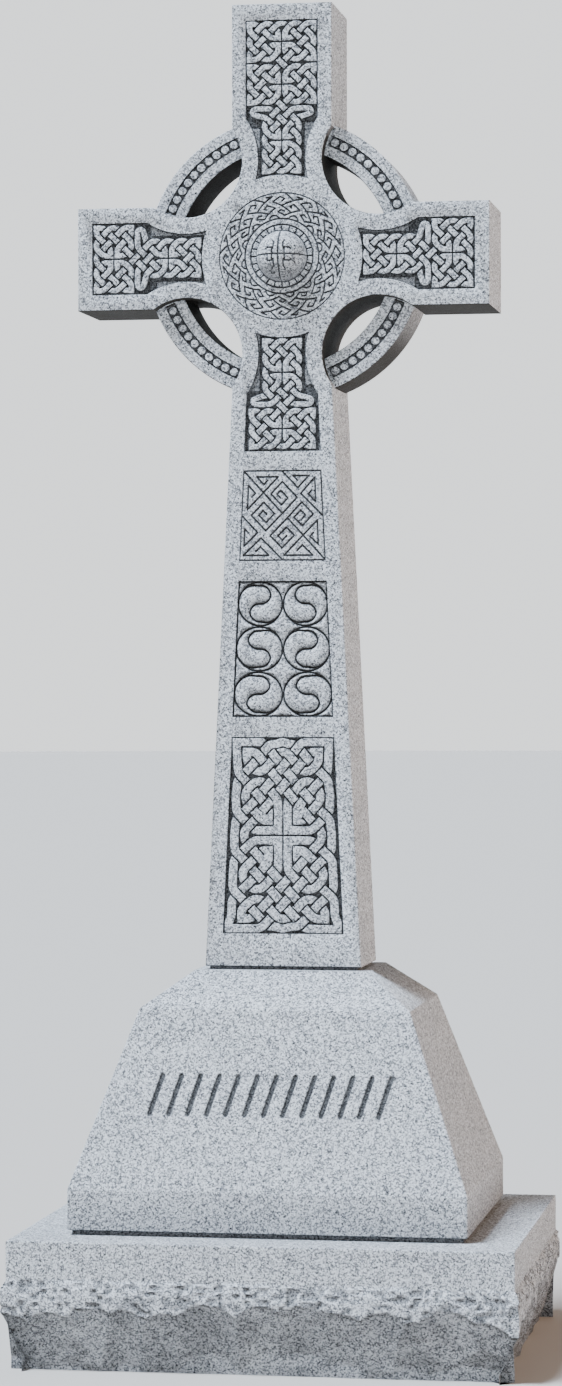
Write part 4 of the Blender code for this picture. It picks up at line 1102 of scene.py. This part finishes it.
def interlace(name, plan, weave, sizes, colours):
    """A sunk panel: a stippled ground on a grid and one cushion for each visible run of strand.

    The ground's depth is the panel's plus noise. It takes the dark stain, darkest where the nearest strand or
    wall is close, which paints their shade on it.
    """
    cushions = [weave.cushion(run, 6, sizes.panel_depth + 0.0010) for run in weave.runs()]
    nearest = distance_to_lines(plan, [closed(rim(plan))])
    for points, _, _ in cushions:
        outline = closed(rim(points))[:, (0, 2)] - (0.0, CENTRE)
        close = ((plan > outline.min(axis=0) - 0.004) & (plan < outline.max(axis=0) + 0.004)).all(axis=-1)
        nearest[close] = np.minimum(nearest[close], distance_to_lines(plan[close], [outline]))
    stipple = hash_noise(plan[..., 0] * 420, plan[..., 1] * 420, 23)
    sunk = sizes.panel_depth + 0.0007 * (stipple - 0.5) * smooth_step(0.0008, 0.003, nearest)
    # Dark stain on the stippled ground, and painted shade in a dark line at the foot of each strand and wall.
    grime_and_shade = 0.60 + 0.18 * stipple + 0.30 * (1.0 - smooth_step(0.0006, 0.0028, nearest))
    shells = [closed_grid(plan, sunk, np.clip(grime_and_shade, 0.0, 1.0), sizes.panel_depth + 0.0019)] + cushions
    add_piece(name, shells, "carved granite", colours, angle=50, merge=2e-5)


def closed_grid(plan, sunk, grime_and_shade, back):
    """A grid of plan points with a depth at each, closed by sides and a flat back."""
    plan = np.pad(plan, ((1, 1), (1, 1), (0, 0)), mode="edge")
    sunk = np.pad(sunk, 1, constant_values=back)
    # The tile's sides and back get the full dark stain, painted shade where they face the bed.
    grime_and_shade = np.pad(grime_and_shade, 1, constant_values=1.0)
    index = np.arange(sunk.size).reshape(sunk.shape)
    return placed(plan, sunk), grid_faces(*sunk.shape) + [rim(index).tolist()], grime_and_shade


def tile(name, plan, sunk, grime_and_shade, bed, colours):
    """A carved tile that fills its bed in the cross."""
    shell = closed_grid(plan, sunk, np.clip(grime_and_shade, 0.0, 1.0), bed - BED_GAP)
    add_piece(name, [shell], "carved granite", colours, angle=80)


def tapered_grid(top, bottom, margin, spacing):
    """Plan points over a tapered panel, about a spacing apart: rows go down, columns across."""
    rows = int(round((bottom - top) / spacing)) + 1
    columns = int(round(2 * (shaft_half((top + bottom) / 2) - margin) / spacing)) + 1
    drop = np.linspace(top, bottom, rows)
    across = np.linspace(-1, 1, columns)
    x = across[None] * (shaft_half(drop) - margin)[:, None]
    return np.stack((x, np.broadcast_to(-drop[:, None], x.shape)), axis=-1)


def framed(distance, edge):
    """The distance to the nearest line, with a line that frames the tile just inside its edge."""
    return np.minimum(distance, np.maximum(edge - FRAME_LINE, 0.0))


def key_tile(sizes, colours):
    """The diagonal key pattern: the depth at a point is a groove of its distance from the nearest line."""
    plan = tapered_grid(*FRET, KEY_GRID)
    edge = distance_to_lines(plan, [closed(trapezium(*FRET))])
    sunk = groove(framed(distance_to_lines(plan, key_lines()), edge), sizes.line_width, sizes.line_depth)
    # The dark stain in the grooves also paints their shade.
    tile("key_tile", plan, sunk, 1.6 * sunk / sizes.line_depth, TILE_BED, colours)


def spiral_tile(sizes, colours):
    """Spiral roundels: pillowed lobes between an S-shaped line and the circle round them.

    The depth is the groove of the nearest line plus a pillow that falls away as that line comes nearer.
    The spandrels between the circles are dished in the same way.
    """
    plan = tapered_grid(*SPIRALS, SPIRAL_GRID)
    edge = distance_to_lines(plan, [closed(trapezium(*SPIRALS))])
    distance = edge.copy()
    inset = sizes.line_width * 0.3
    for centre, half_width, half_height, turning in spiral_cells():
        local = (plan - centre) / (half_width - inset, half_height - inset)
        scale = (half_width + half_height) / 2
        distance = np.minimum(distance, np.abs(np.hypot(local[..., 0], local[..., 1]) - 1.0) * scale)
        near = (np.abs(local) < 1.15).all(axis=-1)
        path = spiral_path(centre, half_width - inset, half_height - inset, turning, 30)
        distance[near] = np.minimum(distance[near], distance_to_lines(plan[near], [path]))
    sunk = groove(framed(distance, edge), sizes.line_width, sizes.line_depth)
    # The dark stain in the grooves also paints their shade.
    grime_and_shade = 1.6 * sunk / sizes.line_depth
    away = np.clip(distance / 0.017, 0.0, 1.0)
    pillow = sizes.pillow * (1.0 - np.sqrt(1.0 - (1.0 - away) ** 2)) * smooth_step(0.0, 0.0012, edge)
    sunk = sunk * 0.6 + pillow
    tile("spiral_tile", plan, np.minimum(sunk, SPIRAL_BED - 0.001), grime_and_shade, SPIRAL_BED, colours)


# Key pattern of the medallion: one repeat of 30 degrees as (angle in degrees clockwise, radius in mm).
BAND_LINES = [[(0.0, 123.6), (10.0, 109.3)],
              [(12.6, 117.7), (18.5, 116.6), (10.0, 109.3), (-2.2, 97.7)],
              [(-2.2, 107.0), (0.8, 111.3), (-3.9, 115.4), (-11.7, 106.6), (-2.2, 97.7), (10.0, 85.6)],
              [(9.6, 94.3), (7.2, 97.1), (11.1, 102.1), (20.0, 93.8), (10.0, 85.6), (2.2, 78.8), (-7.2, 86.0),
               (-3.3, 89.9), (1.1, 87.1)],
              [(8.9, 74.0), (11.0, 78.4), (15.0, 81.0), (20.0, 78.8), (23.3, 74.0)]]
BAND_START = 87.8                   # angle of the first repeat's outer end


def band_lines(first, last):
    """The key pattern's lines over some repeats, in plan, each cut fine enough to follow the band."""
    lines = []
    for number in range(first, last):
        for line in BAND_LINES:
            places = np.arange(len(line))
            fine = np.linspace(0, places[-1], 5 * places[-1] + 1)
            angle, radius = [np.interp(fine, places, values) for values in np.array(line).T]
            lines.append(polar(radius / 1000, np.radians(BAND_START - 30.0 * number - angle)))
    return lines


def medallion(sizes, colours):
    """The ring of key pattern, the collar and the dentils, on a grid of radius and angle.

    Depth is the groove of the distance to the nearest line. One repeat is worked out with its neighbours'
    lines and then laid twelve times round.
    """
    repeats, steps = 12, 68                     # steps round each repeat
    radius = np.concatenate((np.linspace(0.0480, 0.0740, 34), np.linspace(0.0747, MEDALLION_RADIUS, 70)))
    radius = radius[:, None]
    start = math.radians(BAND_START)
    turns = start - whole_turn(steps * repeats)
    nearest = distance_to_lines(polar(radius, start - whole_turn(steps) / repeats), band_lines(-1, 2))
    nearest = np.tile(nearest, (1, repeats))
    for circle in (MEDALLION_RADIUS - 0.0004, BAND_INNER - 0.0009, COLLAR_INNER):
        nearest = np.minimum(nearest, np.abs(radius - circle))
    sunk = groove(nearest, sizes.line_width * 0.84, sizes.line_depth)
    pitch = 2 * math.pi / sizes.dentils
    joint = np.abs((turns + pitch / 2) % pitch - pitch / 2) * radius
    dentil = groove(joint, 0.0030, sizes.line_depth)
    sunk = np.where(radius < COLLAR_INNER, np.maximum(sunk, dentil), sunk)
    sunk = np.maximum(sunk, groove(np.abs(radius - BOSS_RADIUS), 0.0036, sizes.line_depth))
    # The dark stain in the grooves also paints their shade.
    grime_and_shade = np.pad(np.clip(1.5 * sunk / sizes.line_depth, 0.0, 1.0), ((1, 1), (0, 0)), constant_values=1.0)
    plan = np.pad(polar(radius, turns), ((1, 1), (0, 0), (0, 0)), mode="edge")
    points = placed(plan, np.pad(sunk, ((1, 1), (0, 0)), constant_values=TILE_BED - BED_GAP))
    faces = grid_faces(len(points) + 1, steps * repeats, wrap=True)
    add_piece("medallion", [(closed(points), faces, closed(grime_and_shade))], "carved granite", colours, angle=80)


def boss(sizes, colours):
    """The half ball, on a grid of tilt and turn, with incised lines that quarter it and hook in each part.

    Its radius at a point is the ball's less the groove of the nearest line, or less a pit's depth.
    """
    tilt = np.linspace(0.0, math.pi / 2, 90)[:, None]
    turns = whole_turn(300)
    plan = polar(BOSS_RADIUS * np.cos(tilt), turns)
    lines = [[(-0.050, 0.0), (0.050, 0.0)], [(0.0, -0.050), (0.0, 0.050)]]
    for flip in ((1, 1), (-1, 1), (1, -1), (-1, -1)):
        lines += [np.array(hook) * flip for hook in BOSS_HOOKS]
    stretch = np.sin(np.maximum(tilt, 0.25)) ** 0.5
    sunk = groove(distance_to_lines(plan, lines) / stretch, sizes.line_width * 0.95, BOSS_LINE_DEPTH)
    square = np.abs(np.abs(plan) - BOSS_PIT).max(axis=-1)
    sunk = np.maximum(sunk, BOSS_PIT_DEPTH * (1 - smooth_step(0.0018, 0.0027, square)))
    radius = BOSS_RADIUS - sunk
    points = placed(polar(radius * np.cos(tilt), turns), -radius * np.sin(tilt))
    points = np.concatenate((points[:1] + (0.0, 0.0075, 0.0), points))
    # The dark stain in the grooves and pits also paints their shade.
    grime_and_shade = np.pad(np.clip(1.6 * sunk / BOSS_LINE_DEPTH, 0.0, 1.0), ((1, 0), (0, 0)), constant_values=1.0)
    faces = grid_faces(len(points), len(turns), wrap=True) + [list(range(len(turns)))]
    # Painted shade at 0.6 strength on its lower side.
    add_piece("boss", [(points, faces, grime_and_shade)], "honed granite", colours, angle=80, painted_shade=0.6)


# Pedestal and base.
def softened(profile, reach):
    """A polyline profile with each inner corner replaced by three points of a small round."""
    profile = np.asarray(profile, float)
    result = [profile[0]]
    for before, here, after in zip(profile[:-2], profile[1:-1], profile[2:]):
        back = (before - here) / np.linalg.norm((before - here)[:3])
        ahead = (after - here) / np.linalg.norm((after - here)[:3])
        result += [here + back * reach, here + (back + ahead) * reach * 0.28, here + ahead * reach]
    result.append(profile[-1])
    return np.array(result)


def pedestal(sizes, colours):
    """The die: a rectangle with softened corners whose half width and half depth follow a profile of heights.

    The points run round the rectangle and up the profile. On the battered front they are close enough to
    carry a row of shallow leaning strokes, sunk by the groove of their distance from the nearest stroke.
    """
    width, depth = PEDESTAL_HIGH.x, PEDESTAL_HIGH.y
    inset = PEDESTAL_REBATE_DEPTH
    rebate = BASE_TOP + PEDESTAL_REBATE_HEIGHT
    key = [(PEDESTAL_LOW.z, width - inset, depth - inset), (rebate - 0.001, width - inset, depth - inset),
           (rebate, width - 0.0012, depth - 0.0012),
           (rebate + 0.0014, width, depth), (BASE_TOP + PEDESTAL_BAND, width, depth),
           (BASE_TOP + PEDESTAL_BREAK, PEDESTAL_BREAK_WIDTH / 2, PEDESTAL_BREAK_DEPTH / 2),
           (PEDESTAL_HIGH.z, PEDESTAL_TOP_WIDTH / 2, PEDESTAL_TOP_DEPTH / 2)]
    profile = np.vstack((key[:4], softened(key[3:], sizes.arris)[1:]))
    middle = BASE_TOP + sizes.stroke_rise
    reach = sizes.stroke_height / 2 + STROKE_CLEAR
    heights = np.unique(np.concatenate((profile[:, 0], np.linspace(middle - reach, middle + reach, 74))))
    heights = heights[np.append(np.diff(heights) > 1e-5, True)]
    half_width, half_depth = [np.interp(heights, profile[:, 0], half)[:, None] for half in profile.T[1:]]
    corner = sizes.arris
    row = (sizes.stroke_row + sizes.stroke_lean) / 2 + STROKE_CLEAR
    share = row / (np.interp(middle, profile[:, 0], profile[:, 1]) - corner)
    outer = np.linspace(-1.0, -share, 7)[:-1]
    front = np.concatenate((outer, np.linspace(-share, share, int(2 * row / STROKE_GRID)), -outer[::-1]))
    rounds = np.radians((18.0, 45.0, 72.0))
    columns = []
    for number, (x_way, y_way) in enumerate(((1, -1), (1, 1), (-1, 1), (-1, -1))):
        run = np.linspace(-1, 1, 9) if number else front
        bend = rounds[::-1] if number % 2 else rounds
        flat_x, flat_y = half_width - corner, half_depth - corner
        columns.append((x_way * half_width, y_way * run * flat_y) if number % 2
                       else (x_way * run * flat_x, y_way * half_depth))
        columns.append((x_way * (flat_x + corner * np.sin(bend)), y_way * (flat_y + corner * np.cos(bend))))
    plan = np.concatenate([np.stack(np.broadcast_arrays(x, y), axis=-1) for x, y in columns], axis=1)
    z = np.broadcast_to(heights[:, None], plan.shape[:2])
    points = np.concatenate((plan, z[..., None]), axis=-1)
    slope = (depth - PEDESTAL_BREAK_DEPTH / 2) / (PEDESTAL_BREAK - PEDESTAL_BAND)
    length = math.hypot(1.0, slope)
    pitch = (sizes.stroke_row - sizes.stroke_width) / (sizes.strokes - 1)
    lean, tall = sizes.stroke_lean / 2, (sizes.stroke_height - sizes.stroke_width) / 2
    strokes = [[(at - lean, middle - tall), (at + lean, middle + tall)]
               for at in (np.arange(sizes.strokes) - (sizes.strokes - 1) / 2) * pitch]
    count = len(front)
    distance = distance_to_lines(points[:, :count][..., (0, 2)], strokes)
    cut = groove(distance, sizes.stroke_width * 0.86, STROKE_DEPTH)
    points[:, :count, 1] += cut / length
    points[:, :count, 2] -= cut * slope / length
    grime_and_shade = np.zeros(points.shape[:2])
    # The dark stain in the strokes also paints their shade.
    grime_and_shade[:, :count] = np.clip(1.8 * cut / STROKE_DEPTH, 0.0, 1.0)
    # The rebate rows take the dark stain: a dark joint with painted shade in the gap over the base.
    grime_and_shade[:3] = 0.9
    add_piece("pedestal_die", [(points, capped_faces(*grime_and_shade.shape), grime_and_shade)], "pedestal granite", colours,
              "pedestal", angle=50)


def base(colours):
    """The ground stone: a smooth margin over a rock-pitched face, on a grid of girth and height.

    The rock face swells out from a ragged line under the margin in coarse grains. Below that it is the lowest
    of many leaning cuts, each inside a parabola on the face, so it breaks into flat scallops with sharp rims.
    """
    half_x = BASE_HIGH.x - PITCH_BULGE
    half_y = BASE_HIGH.y - PITCH_BULGE
    sides = [2 * half_x, 2 * half_y, 2 * half_x, 2 * half_y]
    stops = np.cumsum([0.0] + sides)
    total = stops[-1]
    counts = [int(length / ROCK_SPACING) for length in sides]
    along = np.concatenate([start + np.arange(count) / count * length
                            for start, count, length in zip(stops, counts, sides)])
    corners = closed(np.array([(-half_x, -half_y), (half_x, -half_y), (half_x, half_y), (-half_x, half_y)]))
    x = np.interp(along, stops, corners[:, 0])
    y = np.interp(along, stops, corners[:, 1])
    ways = np.array([(0, -1), (1, 0), (0, 1), (-1, 0)], float)
    out = ways[np.searchsorted(stops, along, side="right") - 1]
    for number in range(4):
        out[np.argmin(np.abs(along - stops[number]))] += ways[number - 1]
    margin_line = BASE_HIGH.z - BASE_MARGIN
    top = np.array([0.0, 0.0004, 0.0012, 0.0028, 0.012, 0.03, 0.05, 0.0675])
    rows = np.concatenate((BASE_HIGH.z - top, np.linspace(margin_line, 0.0, 58)))
    girths, heights = np.meshgrid(along, rows)
    generator = np.random.default_rng(29)
    drop = np.maximum(margin_line - heights, 0.0)
    bulge = PITCH_BULGE - 0.0008
    wander = hash_noise(girths * 23, heights * 26, 19) - 0.5
    rock = bulge * np.clip(drop / 0.036, 0.0, 1.0) + 0.006 * wander
    small = 1.0 - 2.0 * np.abs(hash_noise(girths * 75 + 2 * wander, heights * 85, 3) - 0.5)
    rock += 0.0066 * (small - 0.66) + 0.0036 * (hash_noise(girths * 170, heights * 180, 5) - 0.5)
    rock = np.minimum(rock, bulge)
    shade = np.zeros(drop.shape)
    crumple = 0.0016 * (hash_noise(girths * 60, heights * 70, 8) - 0.5) + 0.0012 * wander
    for spread, first, last, steep, wide in SCALLOPS:
        count = int(total / spread)
        spots = (np.arange(count) + generator.uniform(-0.33, 0.33, count)) * total / count
        tops = generator.uniform(first, last, count)
        leans = generator.uniform(-0.28, 0.28, count)
        slopes = steep * generator.uniform(0.75, 1.3, count)
        widths = wide * generator.uniform(0.75, 1.25, count)
        for spot, top_drop, lean, slope, width in zip(spots, tops, leans, slopes, widths):
            gap = (girths - spot + total / 2) % total - total / 2
            inside = drop - top_drop - 0.028 * (gap / width) ** 2 + 0.004 * wander
            cut = bulge - slope * inside - 0.002 * smooth_step(0.0, 0.003, inside) + lean * gap * 0.3
            rock = np.where(inside > 0.0, np.minimum(rock, cut + crumple), rock)
            shade = np.maximum(shade, smooth_step(0.0, 0.004, inside))
    ragged = margin_line - 0.003 * hash_noise(girths * 24, np.ones(girths.shape), 7)
    share = smooth_step(0.0, 0.005, ragged - heights)
    push = share * np.clip(rock, DEEPEST_BITE + 0.006 * wander, PITCH_BULGE - 0.0002)
    softening = np.interp(BASE_HIGH.z - heights, [0.0, 0.0004, 0.0012, 0.0028], [0.0028, 0.0012, 0.0004, 0.0])
    push = np.where(heights > margin_line, -softening, push)
    points = np.stack((x + out[:, 0] * push, y + out[:, 1] * push, heights), axis=-1)
    # Painted shade in the hollows of the scallops.
    grime_and_shade = 0.42 * shade * share * (0.6 + 0.8 * hash_noise(girths * 30, heights * 40, 13))
    # Darker towards the foot.
    grime_and_shade += 0.15 * smooth_step(0.030, 0.0, heights)
    # Painted shade in the pits of the rough upper zone.
    grime_and_shade += 0.62 * share * (1.0 - shade) * smooth_step(0.74, 0.46, small + 0.3 * wander)
    add_piece("base_stone", [(points, capped_faces(*push.shape), grime_and_shade)], "pitched granite", colours, "base",
              angle=38)


# Stage.
FLOOR_RADIUS = 60.0
SURROUND = [(0.26, (0.95, 0.98, 1.0)), (0.46, (0.06, 0.065, 0.07))]     # colours by the sine of the elevation
SURROUND_STRENGTH = 1.55
LIGHT_TARGET = np.array((0.1, 0.1, 1.4))
# Name, kind, place, size, power and colour.
LIGHTS = [("key", "SUN", (-3.6, -3.0, 10.3), 0.30, 8.2, (0.75, 0.86, 1.0)),
          ("side", "AREA", (3.6, 0.4, 1.7), 1.2, 42.0, (1.0, 0.50, 0.16))]


def stage(colours):
    """A wide pale floor under a pale surround, a sun and a warm side light, and the camera.

    The surround is pale from the horizon up to 15 degrees and falls away above that.
    """
    count = 96
    points = np.column_stack((polar(FLOOR_RADIUS, whole_turn(count)), np.full(count, -0.0002)))
    mesh = bpy.data.meshes.new("floor")
    mesh.from_pydata(points.tolist(), [], [list(range(count))])
    material = bpy.data.materials.new("studio floor")
    material.use_nodes = True
    tree = material.node_tree
    noise = add_node(tree, "TexNoise", {"Scale": 0.6})["Fac"]
    two = [(*[c * tone for c in colours.floor], 1.0) for tone in (1.0, 1.02)]
    cloud = add_node(tree, "Mix", {0: noise, 6: two[0], 7: two[1]}, data_type="RGBA")[2]
    connect(tree, tree.nodes["Principled BSDF"], {"Base Color": cloud, "Roughness": 0.9})
    mesh.materials.append(material)
    floor = bpy.data.objects.new("floor", mesh)
    bpy.context.scene.collection.objects.link(floor)

    world = bpy.data.worlds.new("studio")
    world.use_nodes = True
    tree = world.node_tree
    up = add_node(tree, "SeparateXYZ", {0: add_node(tree, "TexCoord", {})["Generated"]})["Z"]
    connect(tree, tree.nodes["Background"], {"Color": ramp(tree, up, SURROUND), "Strength": SURROUND_STRENGTH})
    bpy.context.scene.world = world

    for name, kind, place, size, power, colour in LIGHTS:
        lamp = bpy.data.lights.new(name, kind)
        if kind == "SUN":
            lamp.angle = size
        else:
            lamp.shape = "DISK"
            lamp.size = size
        lamp.energy = power
        lamp.color = colour
        item = bpy.data.objects.new(name, lamp)
        item.location = place
        aim = LIGHT_TARGET - np.array(place)
        yaw = math.atan2(aim[0], aim[1])
        pitch = math.atan2(aim[2], math.hypot(aim[0], aim[1]))
        item.rotation_euler = (math.pi / 2 + pitch, 0.0, -yaw)
        bpy.context.scene.collection.objects.link(item)
    place_camera()


def place_camera():
    """The photograph's view: solved position, turn, tilt and lens, with the image 1386 high."""
    camera = bpy.data.cameras.new("camera")
    camera.lens = 99.53
    camera.sensor_width = 36.0
    camera.sensor_fit = "AUTO"
    item = bpy.data.objects.new("camera", camera)
    item.rotation_mode = "XYZ"
    item.matrix_world = (Matrix.Translation((1.2314, -7.4466, 1.3113))
                         @ Matrix.Rotation(math.radians(9.542), 4, "Z")
                         @ Matrix.Rotation(math.radians(90.0 - 0.247), 4, "X")
                         @ Matrix.Rotation(math.radians(-0.097), 4, "Z"))
    bpy.context.scene.collection.objects.link(item)
    bpy.context.scene.camera = item


# Operators.
def settings(context):
    """The sizes and colours that the operators read."""
    return context.scene.headstone_sizes, context.scene.headstone_colours


class HEADSTONE_OT_body(bpy.types.Operator):
    """Build the dressed stone of the cross, with the beds of its carving"""

    bl_idname = "headstone.body"
    bl_label = "Cross body"

    def execute(self, context):
        cross_body(*settings(context))
        return {"FINISHED"}


class HEADSTONE_OT_ring(bpy.types.Operator):
    """Build the ring with its channel and pellets"""

    bl_idname = "headstone.ring"
    bl_label = "Ring"

    def execute(self, context):
        ring(*settings(context))
        return {"FINISHED"}


class HEADSTONE_OT_interlace(bpy.types.Operator):
    """Build the interlace panels of the head and the large knot on the shaft"""

    bl_idname = "headstone.interlace"
    bl_label = "Interlace panels"

    def execute(self, context):
        sizes, colours = settings(context)
        for direction in ("top", "low", "left", "right"):
            interlace("interlace_" + direction, head_grid(direction, HEAD_GRID), head_weave(direction, sizes),
                      sizes, colours)
        interlace("interlace_knot", tapered_grid(*KNOT, KNOT_GRID), knot_weave(sizes), sizes, colours)
        return {"FINISHED"}


class HEADSTONE_OT_tiles(bpy.types.Operator):
    """Build the key pattern and the spirals on the shaft"""

    bl_idname = "headstone.tiles"
    bl_label = "Key pattern and spirals"

    def execute(self, context):
        key_tile(*settings(context))
        spiral_tile(*settings(context))
        return {"FINISHED"}


class HEADSTONE_OT_medallion(bpy.types.Operator):
    """Build the medallion and the boss"""

    bl_idname = "headstone.medallion"
    bl_label = "Medallion and boss"

    def execute(self, context):
        medallion(*settings(context))
        boss(*settings(context))
        return {"FINISHED"}


class HEADSTONE_OT_pedestal(bpy.types.Operator):
    """Build the pedestal with its row of plain strokes"""

    bl_idname = "headstone.pedestal"
    bl_label = "Pedestal"

    def execute(self, context):
        pedestal(*settings(context))
        return {"FINISHED"}


class HEADSTONE_OT_base(bpy.types.Operator):
    """Build the rock-faced base"""

    bl_idname = "headstone.base"
    bl_label = "Base"

    def execute(self, context):
        base(settings(context)[1])
        return {"FINISHED"}


class HEADSTONE_OT_stage(bpy.types.Operator):
    """Set the floor, the lights and the camera"""

    bl_idname = "headstone.stage"
    bl_label = "Stage"

    def execute(self, context):
        stage(settings(context)[1])
        return {"FINISHED"}


OPERATORS = (HEADSTONE_OT_body, HEADSTONE_OT_ring, HEADSTONE_OT_interlace, HEADSTONE_OT_tiles,
             HEADSTONE_OT_medallion, HEADSTONE_OT_pedestal, HEADSTONE_OT_base, HEADSTONE_OT_stage)


class HEADSTONE_PT_steps(bpy.types.Panel):
    """Lists the sizes, the colours and the steps"""

    bl_label = "Celtic Cross Headstone"
    bl_space_type = "VIEW_3D"
    bl_region_type = "UI"
    bl_category = "Headstone"

    def draw(self, context):
        for group in settings(context):
            box = self.layout.box()
            for name in group.bl_rna.properties.keys():
                if name not in {"rna_type", "name"}:
                    box.prop(group, name)
        for operator in OPERATORS:
            self.layout.operator(operator.bl_idname)


CLASSES = (HeadstoneSizes, HeadstoneColours, *OPERATORS, HEADSTONE_PT_steps)


def register():
    """Makes the classes and the two groups of settings known."""
    for cls in CLASSES:
        bpy.utils.register_class(cls)
    bpy.types.Scene.headstone_sizes = bpy.props.PointerProperty(type=HeadstoneSizes)
    bpy.types.Scene.headstone_colours = bpy.props.PointerProperty(type=HeadstoneColours)


def unregister():
    """Takes back what register did."""
    del bpy.types.Scene.headstone_colours
    del bpy.types.Scene.headstone_sizes
    for cls in reversed(CLASSES):
        bpy.utils.unregister_class(cls)


def main():
    """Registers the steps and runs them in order."""
    register()
    bpy.ops.headstone.body()
    bpy.ops.headstone.ring()
    bpy.ops.headstone.interlace()
    bpy.ops.headstone.tiles()
    bpy.ops.headstone.medallion()
    bpy.ops.headstone.pedestal()
    bpy.ops.headstone.base()
    bpy.ops.headstone.stage()


if __name__ == "__main__":
    main()
